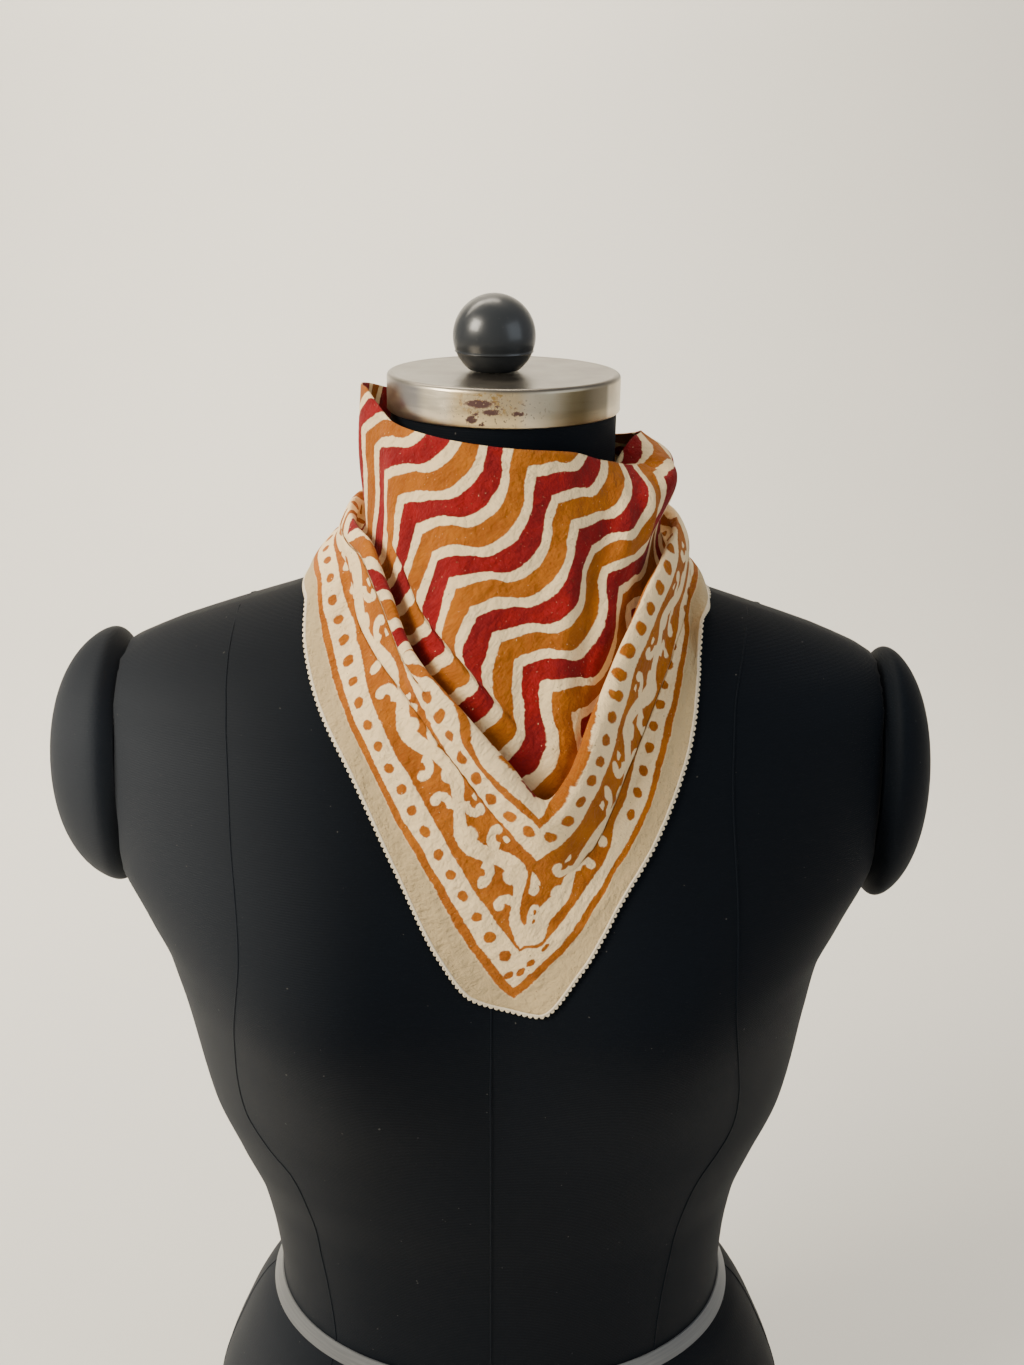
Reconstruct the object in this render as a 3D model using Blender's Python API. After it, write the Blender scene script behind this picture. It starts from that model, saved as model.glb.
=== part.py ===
"""Neckerchief tied round the neck of a limbless dress form.

The cloth is a square cut folded once on its diagonal, point to the front and knotted at the nape.
The form carries it: torso, two armhole covers, a metal neck cap with a ball knob, and a waist band.
Metres, +Z up, front towards -Y, origin at the middle of the form's flat base.
"""
import math

import bmesh
import bpy
import numpy as np
from mathutils import Vector
from mathutils.bvhtree import BVHTree

# Driving sizes, in metres
MM = 0.001
CAP_TOP = 0.720
CAP_HEIGHT = 0.017
CAP_RADIUS = 0.054
CAP_EDGE = 0.0022
CAP_EDGE_STEPS = 4
CAP_CHAMFER = 0.0006
CAP_SIDES = 48
KNOB_RADIUS = 0.019
KNOB_FOOT_RADIUS = 0.0105
KNOB_FOOT_DROP = 0.0155
KNOB_SIDE = -0.0045
KNOB_FOOT_TURN = 0.06
KNOB_TOP_TURN = 0.1
KNOB_RINGS = 13
KNOB_SIDES = 24
GAP = 0.0003

ARMHOLE_X = 0.185
ARM_COVER_HEIGHT = 0.138
ARM_COVER_DEPTH = 0.106
ARM_COVER_SINK = 0.06
ARM_COVER_FULLNESS = 0.8
ARM_COVER_RINGS = 6
ARM_COVER_SIDES = 28
ARM_COVERS = (
    ("arm_cover_left", -1, 0.040, 0.195),
    ("arm_cover_right", 1, 0.030, 0.200),
)

WAIST_DROP = 0.518
BAND_HEIGHT = 0.009
BAND_WALL = 0.0011

CLOTH_WALL = 0.0012
CLOTH_REST = 0.0016
LAYER_STEP = 0.0019
NECK_TOP_CLEAR = 0.0195
FRONT_REACH = 96.0
WRAP_REACH = 163.4
SEAM_TURN = 0.4
RIDGE_LIP = 0.0013
POCKET_TOP = 0.004
POCKET_SIDE_DEPTH = 0.65
POCKET_BACK_SHARE = 0.95
POCKET_FLOOR_SHARE = 0.55
POCKET_FRONT_SHARE = 0.12
ROLL_OUT = 0.0062
ROLL_DROP = 0.0085
FLAP_BELLY = 0.0022
COVER_REACH = 0.011
GATHER_START = 64.0
GATHER_FULL = 125.0
GATHER_RISE = 0.0014
GATHER_WAVES = 4.5

KNOT_HALF_WIDTH = 0.0185
KNOT_HALF_DEPTH = 0.0122
KNOT_HALF_HEIGHT = 0.0135
KNOT_BACK = 0.0676
KNOT_DROP = 0.048
KNOT_END = 0.42
KNOT_GROOVE = 0.36
KNOT_FOLDS = 5
KNOT_FOLD_RISE = 0.045
KNOT_TWIST = 3.0
KNOT_ROUNDNESS = 2.6
KNOT_GROOVE_DEPTH = 0.13
KNOT_GROOVE_WIDTH = 0.08
KNOT_SIDES = 20
KNOT_RINGS = (0.0, 0.24, 0.36, 0.46, 0.62, 0.8, 0.93, 1.0)
TAIL_WALL = 0.0020
TAIL_REST = 0.0017
TAIL_FOLD = 0.0028
TAIL_FULL = 0.0165
TAIL_SLOPE = 28.0
TAIL_PLEATS = 1.5
TAIL_STEPS = 14
TAIL_ACROSS = 8

# Numbers of faces
TORSO_SIDES = 40
TORSO_RING_GAP = 0.036
FRONT_COLUMNS = 44
WRAP_COLUMNS = 10
SPAN_STEPS = (4, 4, 3, 2, 2, 2, 2, 2, 3, 4, 4)
COLLAR_ROWS = 8
FLAP_ROWS = 8
SMOOTH_ANGLE = 50.0
TURNED_SMOOTH_ANGLE = 35.0

# The form's sections, in millimetres below the cap's top
TORSO_COLUMNS = ("drop", "half_width", "front", "back", "square", "shift")
TORSO_SECTIONS = (
    (17.3, 52.5, 52.5, 52.5, 2.0, 0.0),
    (60.0, 52.5, 52.5, 52.5, 2.0, 0.0),
    (85.0, 57.0, 54.0, 57.0, 2.0, 0.0),
    (95.0, 76.0, 58.0, 65.0, 1.7, -0.5),
    (105.0, 103.0, 62.0, 73.0, 1.6, -1.0),
    (117.0, 140.0, 67.5, 82.0, 1.65, -2.0),
    (128.0, 170.0, 73.0, 88.0, 1.75, -2.0),
    (139.0, 189.0, 77.5, 93.0, 1.95, -2.0),
    (157.0, 197.0, 84.0, 97.0, 2.2, -2.0),
    (190.0, 198.0, 94.0, 101.0, 2.35, -2.0),
    (230.0, 195.0, 104.0, 101.0, 2.4, -2.0),
    (262.0, 181.0, 111.0, 99.0, 2.4, -2.0),
    (285.0, 170.0, 114.0, 97.0, 2.4, -2.0),
    (315.0, 165.0, 113.0, 92.0, 2.3, -1.0),
    (374.0, 157.0, 107.0, 86.0, 2.2, 0.0),
    (407.0, 146.0, 103.0, 83.0, 2.15, 0.0),
    (442.0, 134.5, 98.5, 81.0, 2.1, 1.0),
    (478.0, 129.0, 96.0, 80.0, 2.1, 2.0),
    (511.0, 127.0, 95.0, 82.0, 2.1, 3.0),
    (517.0, 128.5, 95.5, 83.0, 2.1, 3.0),
    (532.0, 140.0, 100.0, 89.0, 2.1, 3.0),
    (555.0, 152.0, 104.0, 97.0, 2.1, 3.0),
    (606.0, 170.0, 110.0, 110.0, 2.2, 3.0),
    (660.0, 177.0, 112.0, 117.0, 2.2, 3.0),
    (720.0, 178.0, 112.0, 117.0, 2.2, 3.0),
)
BUST_SIDE = 0.083
BUST_DROP = 0.285
BUST_RISE = 0.021
BUST_SPREAD_SIDE = 0.043
BUST_SPREAD_HEIGHT = 0.050

# The kerchief's fold lines: angle from the front in degrees, then millimetres
LINE_COLUMNS = ("angle", "radius", "drop")
TOP_EDGE = (
    (-172, 59.5, 34.0),
    (-130, 63.0, 17.0),
    (-95, 66.0, 7.0),
    (-76, 64.5, 5.5),
    (-66, 62.0, 11.0),
    (-55, 60.0, 17.5),
    (-31, 59.0, 20.7),
    (0, 58.0, 24.0),
    (30, 58.0, 27.0),
    (57, 60.0, 36.0),
    (70, 67.5, 24.5),
    (90, 71.0, 29.0),
    (125, 66.0, 38.0),
    (172, 59.5, 36.0),
)
COLLAR = (
    (-172, 61.0, 43.0),
    (-130, 65.0, 36.0),
    (-90, 66.8, 34.0),
    (-60, 65.0, 42.0),
    (-30, 67.0, 55.0),
    (0, 71.0, 66.0),
    (30, 72.0, 66.0),
    (52, 76.0, 56.0),
    (68, 82.0, 50.0),
    (90, 87.0, 53.0),
    (120, 80.0, 52.0),
    (150, 67.0, 47.0),
    (172, 61.0, 43.0),
)
RIDGE_COLUMNS = ("angle", "radius", "drop", "mouth", "depth")
RIDGE = (
    (-172, 68.0, 46.0, 5.5, 10.0),
    (-130, 72.0, 60.0, 6.0, 14.0),
    (-90, 71.0, 63.0, 6.0, 13.0),
    (-53, 75.0, 67.0, 7.0, 16.0),
    (-38, 81.0, 83.0, 8.0, 20.0),
    (-25, 90.0, 107.0, 9.0, 24.0),
    (-11, 100.0, 125.0, 10.0, 28.0),
    (2, 106.0, 149.0, 10.0, 30.0),
    (11, 109.0, 167.0, 9.0, 28.0),
    (16, 108.0, 157.0, 9.0, 28.0),
    (23, 104.0, 129.0, 10.0, 26.0),
    (34, 96.0, 102.0, 10.0, 22.0),
    (50, 87.0, 81.0, 9.0, 16.0),
    (74, 82.0, 70.0, 8.0, 13.0),
    (95, 83.0, 68.0, 7.0, 12.0),
    (130, 74.0, 60.0, 6.0, 14.0),
    (172, 68.0, 46.0, 5.5, 10.0),
)
VALLEY = (
    (-172, 71.0, 54.0),
    (-130, 78.0, 76.0),
    (-90, 79.0, 77.0),
    (-62, 80.0, 82.0),
    (-46, 86.0, 107.0),
    (-29, 95.5, 122.0),
    (-12, 103.5, 149.0),
    (-1, 106.8, 174.0),
    (7, 110.5, 194.0),
    (14, 112.0, 204.0),
    (22, 110.0, 195.0),
    (34, 104.0, 161.0),
    (48, 96.5, 133.0),
    (62, 91.0, 117.0),
    (90, 90.5, 90.0),
    (130, 82.0, 76.0),
    (172, 71.0, 54.0),
)
HEM = (
    (-172, 69.5, 62.5),
    (-150, 76.0, 77.0),
    (-125, 88.0, 92.0),
    (-90, 94.0, 97.0),
    (-68, 97.0, 98.0),
    (-58, 104.0, 116.0),
    (-49, 108.0, 136.0),
    (-36, 112.0, 161.0),
    (-23, 114.0, 204.0),
    (-13, 116.0, 242.0),
    (-5, 117.0, 262.0),
    (3, 117.0, 267.0),
    (10, 118.0, 269.0),
    (19, 118.0, 249.0),
    (29, 115.0, 218.0),
    (38, 113.0, 195.0),
    (49, 110.0, 160.0),
    (57, 106.0, 130.0),
    (67, 101.0, 106.0),
    (90, 99.0, 103.0),
    (125, 90.0, 94.0),
    (150, 76.0, 78.0),
    (172, 69.5, 62.5),
)

# The two tails below the knot: share of the length, then millimetres
TAIL_COLUMNS = ("share", "side", "back", "drop", "half_width")
TAIL = (
    (0.00, 9.0, 79.0, 58.5, 5.5),
    (0.12, 14.0, 82.5, 66.0, 8.0),
    (0.30, 21.0, 84.0, 81.0, 12.0),
    (0.55, 29.0, 85.0, 104.0, 16.5),
    (0.78, 36.0, 88.5, 127.0, 12.0),
    (1.00, 42.0, 92.0, 150.0, 3.0),
)


def column(rows, names, name):
    """One named column of a table, with its key column."""
    at = names.index(name)
    return np.array([row[0] for row in rows], float), np.array([row[at] for row in rows], float)


def smooth_value(keys, values, at):
    """Cubic through a table's rows that never overshoots them."""
    steps = np.diff(keys)
    slopes = np.diff(values) / steps
    tangents = np.zeros(len(keys))
    for i in range(1, len(keys) - 1):
        if slopes[i - 1] * slopes[i] > 0.0:
            tangents[i] = 2.0 * slopes[i - 1] * slopes[i] / (slopes[i - 1] + slopes[i])
    tangents[0] = slopes[0]
    tangents[-1] = slopes[-1]
    at = min(max(at, keys[0]), keys[-1])
    i = min(int(np.searchsorted(keys, at, side="right")) - 1, len(steps) - 1)
    t = (at - keys[i]) / steps[i]
    rise = (3.0 - 2.0 * t) * t * t
    start = tangents[i] * steps[i] * t * (1.0 - t) ** 2
    end = tangents[i + 1] * steps[i] * t * t * (1.0 - t)
    return values[i] + (values[i + 1] - values[i]) * rise + start - end


def read_line(rows, names, name, angle):
    """One named column of a table, read at an angle."""
    keys, values = column(rows, names, name)
    return smooth_value(keys, values, angle)


def clear_scene():
    """Takes every object out of the scene."""
    for item in list(bpy.data.objects):
        bpy.data.objects.remove(item, do_unlink=True)


def material(name, colour, roughness, metallic=0.0):
    """A plain material for one kind of surface."""
    made = bpy.data.materials.new(name)
    made.use_nodes = True
    shader = made.node_tree.nodes["Principled BSDF"]
    shader.inputs["Base Color"].default_value = (*colour, 1.0)
    shader.inputs["Roughness"].default_value = roughness
    shader.inputs["Metallic"].default_value = metallic
    return made


def object_from(name, points, faces, finish, smooth_angle=SMOOTH_ANGLE):
    """A named object with its faces turned outwards and its round parts shaded smooth."""
    mesh = bpy.data.meshes.new(name)
    mesh.from_pydata([tuple(point) for point in points], [], faces)
    work = bmesh.new()
    work.from_mesh(mesh)
    bmesh.ops.recalc_face_normals(work, faces=work.faces)
    work.to_mesh(mesh)
    work.free()
    mesh.materials.append(finish)
    mesh.shade_smooth()
    mesh.set_sharp_from_angle(angle=math.radians(smooth_angle))
    made = bpy.data.objects.new(name, mesh)
    bpy.context.collection.objects.link(made)
    return made


def ring_faces(rings, sides):
    """Quads between closed rings of equal count."""
    faces = []
    for i in range(rings - 1):
        for j in range(sides):
            k = (j + 1) % sides
            faces.append((i * sides + j, i * sides + k, (i + 1) * sides + k, (i + 1) * sides + j))
    return faces


def torso_point(drop, turn, outwards=0.0):
    """A point of the form's surface: drop in metres, turn in radians from the front."""
    size = {name: read_line(TORSO_SECTIONS, TORSO_COLUMNS, name, drop / MM) for name in TORSO_COLUMNS[1:]}
    side = math.sin(turn)
    ahead = math.cos(turn)
    power = 2.0 / size["square"]
    x = math.copysign(abs(side) ** power, side) * size["half_width"] * MM
    reach = size["front"] if ahead > 0.0 else size["back"]
    y = -math.copysign(abs(ahead) ** power, ahead) * reach * MM
    x = min(max(x + size["shift"] * MM, -ARMHOLE_X), ARMHOLE_X)
    if ahead > 0.0:
        across = (abs(x) - BUST_SIDE) / BUST_SPREAD_SIDE
        down = (drop - BUST_DROP) / BUST_SPREAD_HEIGHT
        y -= BUST_RISE * ahead ** 0.5 * math.exp(-0.5 * (across * across + down * down))
    away = Vector((x, y, 0.0)).normalized() * outwards
    return Vector((x, y, CAP_TOP - drop)) + away


def torso_turns():
    """The turns of the torso's points, in radians from the front."""
    return [2.0 * math.pi * j / TORSO_SIDES for j in range(TORSO_SIDES)]


def make_torso(finish):
    """Neck, shoulders, chest, waist and hips in one closed skin with a flat base."""
    drops = []
    keys = [row[0] * MM for row in TORSO_SECTIONS]
    for high, low in zip(keys, keys[1:]):
        drops.append(high)
        if low - high > TORSO_RING_GAP:
            drops.append((high + low) / 2.0)
    drops.append(keys[-1])
    drops += [WAIST_DROP - BAND_HEIGHT / 2.0, WAIST_DROP + BAND_HEIGHT / 2.0]
    drops.sort()
    points = [torso_point(drop, turn) for drop in drops for turn in torso_turns()]
    faces = ring_faces(len(drops), TORSO_SIDES)
    faces.append(tuple(range(TORSO_SIDES)))
    faces.append(tuple(range((len(drops) - 1) * TORSO_SIDES, len(drops) * TORSO_SIDES)))
    return object_from("form_torso", points, faces, finish)


def make_turned(name, profile, finish, sides, place):
    """An upright turned solid from (radius, height) pairs, closed at both ends."""
    points = []
    for radius, height in profile:
        for j in range(sides):
            turn = 2.0 * math.pi * j / sides
            points.append((radius * math.sin(turn), -radius * math.cos(turn), height))
    faces = ring_faces(len(profile), sides)
    faces.append(tuple(range(sides)))
    faces.append(tuple(range((len(profile) - 1) * sides, len(profile) * sides)))
    made = object_from(name, points, faces, finish, TURNED_SMOOTH_ANGLE)
    made.location = place
    return made


def make_neck_cap(finish):
    """Pressed metal lid with a rolled top edge."""
    profile = [(CAP_RADIUS - CAP_CHAMFER, 0.0), (CAP_RADIUS, CAP_CHAMFER)]
    for i in range(CAP_EDGE_STEPS + 1):
        turn = math.pi / 2.0 * i / CAP_EDGE_STEPS
        radius = CAP_RADIUS - CAP_EDGE * (1.0 - math.cos(turn))
        profile.append((radius, CAP_HEIGHT - CAP_EDGE * (1.0 - math.sin(turn))))
    return make_turned("neck_cap", profile, finish, CAP_SIDES, (0.0, 0.0, CAP_TOP - CAP_HEIGHT))


def make_knob(finish):
    """Ball with a flat foot, a waist above the foot and a parting line round its lower third."""
    profile = [(KNOB_FOOT_RADIUS, -KNOB_FOOT_DROP)]
    first = math.asin(-KNOB_FOOT_DROP / KNOB_RADIUS) + KNOB_FOOT_TURN
    last = math.pi / 2.0 - KNOB_TOP_TURN
    for i in range(KNOB_RINGS):
        lift = first + (last - first) * i / (KNOB_RINGS - 1)
        profile.append((KNOB_RADIUS * math.cos(lift), KNOB_RADIUS * math.sin(lift)))
    place = (KNOB_SIDE, 0.0, CAP_TOP + GAP + KNOB_FOOT_DROP)
    return make_turned("cap_knob", profile, finish, KNOB_SIDES, place)


def make_arm_cover(name, side, bulge, drop, finish):
    """Padded oval that closes an armhole, fullest a little below its middle."""
    sides = ARM_COVER_SIDES
    rings = ARM_COVER_RINGS
    points = []
    for i in range(rings):
        turn = math.pi / 2.0 * i / rings
        grow = math.cos(turn) ** ARM_COVER_FULLNESS
        out = bulge * math.sin(turn)
        for j in range(sides):
            around = 2.0 * math.pi * j / sides
            y = ARM_COVER_DEPTH / 2.0 * grow * math.cos(around)
            z = ARM_COVER_HEIGHT / 2.0 * grow * math.sin(around) - ARM_COVER_SINK * out
            points.append((side * out, y, z))
    points.append((side * bulge, 0.0, -ARM_COVER_SINK * bulge))
    faces = ring_faces(rings, sides)
    last = (rings - 1) * sides
    for j in range(sides):
        faces.append((last + j, last + (j + 1) % sides, rings * sides))
    faces.append(tuple(range(sides)))
    made = object_from(name, points, faces, finish)
    made.location = (side * (ARMHOLE_X + GAP), 0.0, CAP_TOP - drop)
    return made


def make_waist_band(finish):
    """Narrow tape laid round the waist."""
    rings = []
    for drop, out in ((-0.5, GAP), (0.5, GAP), (0.5, GAP + BAND_WALL), (-0.5, GAP + BAND_WALL)):
        level = WAIST_DROP + drop * BAND_HEIGHT
        rings.append([torso_point(level, turn, out) for turn in torso_turns()])
    points = [point for ring in rings for point in ring]
    faces = ring_faces(4, TORSO_SIDES)
    for j in range(TORSO_SIDES):
        k = (j + 1) % TORSO_SIDES
        faces.append((3 * TORSO_SIDES + j, 3 * TORSO_SIDES + k, k, j))
    return object_from("waist_band", points, faces, finish)


def section_marks(angle):
    """Where the cloth's section turns at one angle: radius, drop and least stand off the form."""
    top = [read_line(TOP_EDGE, LINE_COLUMNS, name, angle) * MM for name in LINE_COLUMNS[1:]]
    collar = [read_line(COLLAR, LINE_COLUMNS, name, angle) * MM for name in LINE_COLUMNS[1:]]
    ridge = [read_line(RIDGE, RIDGE_COLUMNS, name, angle) * MM for name in RIDGE_COLUMNS[1:]]
    valley = [read_line(VALLEY, LINE_COLUMNS, name, angle) * MM for name in LINE_COLUMNS[1:]]
    hem = [read_line(HEM, LINE_COLUMNS, name, angle) * MM for name in LINE_COLUMNS[1:]]
    radius, drop, mouth, depth = ridge
    side_drop = drop + POCKET_SIDE_DEPTH * depth
    middle = ((valley[0] + hem[0]) / 2.0 + FLAP_BELLY, (valley[1] + hem[1]) / 2.0)
    over_pocket = min(max((drop + depth + COVER_REACH - valley[1]) / COVER_REACH, 0.0), 1.0)
    return (
        (*top, CLOTH_REST),
        (*collar, CLOTH_REST),
        (radius - mouth, drop - RIDGE_LIP, CLOTH_REST),
        (radius - POCKET_BACK_SHARE * mouth, side_drop, CLOTH_REST),
        (radius - POCKET_FLOOR_SHARE * mouth, drop + depth, CLOTH_REST + LAYER_STEP),
        (radius - POCKET_FRONT_SHARE * mouth, side_drop, CLOTH_REST + 2.0 * LAYER_STEP),
        (radius - RIDGE_LIP, drop + POCKET_TOP, CLOTH_REST + 2.0 * LAYER_STEP),
        (radius + RIDGE_LIP, drop, CLOTH_REST + 3.0 * LAYER_STEP),
        (radius + ROLL_OUT, drop + ROLL_DROP, CLOTH_REST + 4.0 * LAYER_STEP),
        (*valley, CLOTH_REST + 4.0 * LAYER_STEP * over_pocket),
        (*middle, CLOTH_REST),
        (*hem, CLOTH_REST),
    )


def curve_through(marks, steps):
    """Centripetal curve through marks, with its own number of steps on each span."""
    marks = [np.array(mark) for mark in marks]
    marks = [2.0 * marks[0] - marks[1]] + marks + [2.0 * marks[-1] - marks[-2]]
    out = []
    for i, count in enumerate(steps):
        a, b, c, d = marks[i:i + 4]
        ta = 0.0
        tb = ta + np.linalg.norm(b - a) ** 0.5
        tc = tb + np.linalg.norm(c - b) ** 0.5
        td = tc + np.linalg.norm(d - c) ** 0.5
        for k in range(count):
            t = tb + (tc - tb) * k / count
            ab = ((tb - t) * a + (t - ta) * b) / (tb - ta)
            bc = ((tc - t) * b + (t - tb) * c) / (tc - tb)
            cd = ((td - t) * c + (t - tc) * d) / (td - tc)
            abc = ((tc - t) * ab + (t - ta) * bc) / (tc - ta)
            bcd = ((td - t) * bc + (t - tb) * cd) / (td - tb)
            out.append(((tc - t) * abc + (t - tb) * bcd) / (tc - tb))
    out.append(marks[-2])
    return out


def gather_rise(angle, row, rows):
    """How far the gathers push a row of the cloth outwards, nothing at the front."""
    share = min(max((abs(angle) - GATHER_START) / (GATHER_FULL - GATHER_START), 0.0), 1.0)
    wave = 0.0
    if row < COLLAR_ROWS:
        wave = math.sin(math.pi * row / COLLAR_ROWS) * math.sin(GATHER_WAVES * math.pi * row / COLLAR_ROWS)
    elif row >= rows - FLAP_ROWS:
        along = (row - rows + FLAP_ROWS) / FLAP_ROWS
        wave = math.sin(math.pi * along) * math.sin(GATHER_WAVES * math.pi * along)
    return GATHER_RISE * (1.0 + wave) * share * share * (3.0 - 2.0 * share)


def cloth_column(angle, form):
    """One section of the cloth as points in space, lifted where it would touch the form."""
    turn = math.radians(angle)
    points = []
    curve = curve_through(section_marks(angle), SPAN_STEPS)
    for row, (radius, drop, least) in enumerate(curve):
        radius += gather_rise(angle, row, len(curve))
        point = Vector((radius * math.sin(turn), -radius * math.cos(turn), CAP_TOP - drop))
        near, normal, _, _ = form.find_nearest(point)
        if drop > NECK_TOP_CLEAR and (point - near).dot(normal) < least:
            point = near + normal * least
        points.append(point)
    return points


def wall_normals(grid):
    """Unit normals of a grid of points."""
    normals = np.cross(np.gradient(grid, axis=0), np.gradient(grid, axis=1))
    return normals / np.linalg.norm(normals, axis=2, keepdims=True)


def wall_from_grid(name, grid, normals, wall, finish):
    """A closed wall of even thickness on a grid of points, thickened both ways along its normals."""
    count, rows = grid.shape[:2]
    outer = (grid + normals * wall / 2.0).reshape(-1, 3)
    inner = (grid - normals * wall / 2.0).reshape(-1, 3)
    points = np.concatenate([outer, inner])
    behind = count * rows
    faces = []
    for i in range(count - 1):
        for j in range(rows - 1):
            a = i * rows + j
            quad = (a, a + rows, a + rows + 1, a + 1)
            faces.append(quad)
            faces.append(tuple(behind + v for v in reversed(quad)))
    rim = [i * rows for i in range(count)]
    rim += [(count - 1) * rows + j for j in range(1, rows)]
    rim += [i * rows + rows - 1 for i in range(count - 2, -1, -1)]
    rim += [j for j in range(rows - 2, 0, -1)]
    for a, b in zip(rim, rim[1:] + rim[:1]):
        faces.append((b, a, behind + a, behind + b))
    return object_from(name, points, faces, finish)


def spread(first, last, count):
    """Even values from first to last, both kept."""
    return [first + (last - first) * i / count for i in range(count + 1)]


def make_cloth(form, finish):
    """The front drape and the two wraps that run on round the neck to the nape."""
    left = spread(-WRAP_REACH, -FRONT_REACH - SEAM_TURN, WRAP_COLUMNS)
    front = spread(-FRONT_REACH, FRONT_REACH, FRONT_COLUMNS)
    right = spread(FRONT_REACH + SEAM_TURN, WRAP_REACH, WRAP_COLUMNS)
    columns = [cloth_column(angle, form) for angle in left + front + right]
    grid = np.array([[tuple(point) for point in points] for points in columns])
    normals = wall_normals(grid)
    first = 0
    for name, angles in (
        ("kerchief_wrap_left", left),
        ("kerchief_front", front),
        ("kerchief_wrap_right", right),
    ):
        last = first + len(angles)
        wall_from_grid(name, grid[first:last], normals[first:last], CLOTH_WALL, finish)
        first = last


def make_knot(finish):
    """The knot at the nape: a wrapped middle between two lobes, with the cloth's folds round it."""
    sides = KNOT_SIDES
    shares = [-ring for ring in KNOT_RINGS[:0:-1]] + list(KNOT_RINGS)
    points = []
    for share in shares:
        full = KNOT_END + (1.0 - KNOT_END) * (1.0 - abs(share) ** KNOT_ROUNDNESS) ** 0.5
        from_groove = (abs(share) - KNOT_GROOVE) / KNOT_GROOVE_WIDTH
        full *= 1.0 - KNOT_GROOVE_DEPTH * math.exp(-from_groove ** 2)
        for j in range(sides):
            turn = 2.0 * math.pi * j / sides
            fold = 1.0 + KNOT_FOLD_RISE * math.cos(KNOT_FOLDS * turn + KNOT_TWIST * share)
            y = KNOT_HALF_DEPTH * full * fold * math.cos(turn)
            z = KNOT_HALF_HEIGHT * full * fold * math.sin(turn)
            points.append((KNOT_HALF_WIDTH * share, y, z))
    faces = ring_faces(len(shares), sides)
    faces.append(tuple(range(sides)))
    faces.append(tuple(range((len(shares) - 1) * sides, len(shares) * sides)))
    made = object_from("kerchief_knot", points, faces, finish)
    made.location = (0.0, KNOT_BACK, CAP_TOP - KNOT_DROP)
    return made


def make_tail(name, side, form, finish):
    """One end of the cloth below the knot: a folded leaf that lies on the form's back."""
    columns = []
    for i in range(TAIL_STEPS + 1):
        share = i / TAIL_STEPS
        here = {key: read_line(TAIL, TAIL_COLUMNS, key, share) * MM for key in TAIL_COLUMNS[1:]}
        slope = math.radians(TAIL_SLOPE)
        points = []
        for j in range(TAIL_ACROSS + 1):
            s = 2.0 * j / TAIL_ACROSS - 1.0
            full = here["half_width"] / TAIL_FULL
            out = TAIL_FOLD * full ** 2 * math.cos(TAIL_PLEATS * math.pi * s)
            x = here["side"] + here["half_width"] * s * math.cos(slope)
            z = CAP_TOP - here["drop"] + here["half_width"] * s * math.sin(slope)
            point = Vector((side * x, here["back"] + out, z))
            near, normal, _, _ = form.find_nearest(point)
            if (point - near).dot(normal) < TAIL_REST:
                point = near + normal * TAIL_REST
            points.append(tuple(point))
        columns.append(points)
    grid = np.array(columns)
    wall_from_grid(name, grid, wall_normals(grid), TAIL_WALL, finish)


def form_surface(made):
    """The form's own surface, for the cloth to rest on."""
    mesh = made.data
    corners = [vertex.co.copy() for vertex in mesh.vertices]
    faces = [tuple(face.vertices) for face in mesh.polygons]
    return BVHTree.FromPolygons(corners, faces)


def main():
    """Builds the form and the cloth on it."""
    clear_scene()
    black_cloth = material("form_cloth", (0.012, 0.014, 0.018), 0.85)
    printed_cotton = material("printed_cotton", (0.62, 0.42, 0.20), 0.9)
    brushed_metal = material("cap_metal", (0.62, 0.60, 0.57), 0.28, 1.0)
    black_gloss = material("knob_gloss", (0.008, 0.008, 0.009), 0.12)
    tape = material("waist_tape", (0.20, 0.21, 0.22), 0.4)

    torso = make_torso(black_cloth)
    make_neck_cap(brushed_metal)
    make_knob(black_gloss)
    for name, side, bulge, drop in ARM_COVERS:
        make_arm_cover(name, side, bulge, drop, black_cloth)
    make_waist_band(tape)
    form = form_surface(torso)
    make_cloth(form, printed_cotton)
    make_knot(printed_cotton)
    make_tail("kerchief_tail_left", -1, form, printed_cotton)
    make_tail("kerchief_tail_right", 1, form, printed_cotton)


main()
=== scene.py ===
# %% [markdown]
# # A printed neckerchief on a dress form
# The real thing is one square of thin cotton, block printed in ochre and red, folded on its
# diagonal and tied behind the neck of a black display form with a metal neck cap.
# This lesson loads the measured solids as a fixed frame. Finer pieces then go over them, with
# the folds, the print, the hem stitches and the worn metal that the solids leave out.

import math

import bmesh
import bpy
import numpy as np
from mathutils import Matrix, Vector
from mathutils.bvhtree import BVHTree


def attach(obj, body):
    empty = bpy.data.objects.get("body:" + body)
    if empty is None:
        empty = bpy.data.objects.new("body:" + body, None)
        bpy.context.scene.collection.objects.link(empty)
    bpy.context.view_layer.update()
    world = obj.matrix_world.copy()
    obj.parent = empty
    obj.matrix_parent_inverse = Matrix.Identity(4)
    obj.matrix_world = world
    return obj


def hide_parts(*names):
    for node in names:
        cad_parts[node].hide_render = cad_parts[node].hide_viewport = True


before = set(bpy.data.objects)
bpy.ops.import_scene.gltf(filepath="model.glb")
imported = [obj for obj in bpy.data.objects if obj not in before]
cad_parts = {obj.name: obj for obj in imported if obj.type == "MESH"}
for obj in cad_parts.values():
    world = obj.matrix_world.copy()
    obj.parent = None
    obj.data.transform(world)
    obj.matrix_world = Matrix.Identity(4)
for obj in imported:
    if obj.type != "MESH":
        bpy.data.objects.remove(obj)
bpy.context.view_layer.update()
MM = 0.001
PER_METRE = 1000.0
CAP_TOP = 0.720
print("nodes", sorted(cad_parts))

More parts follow.
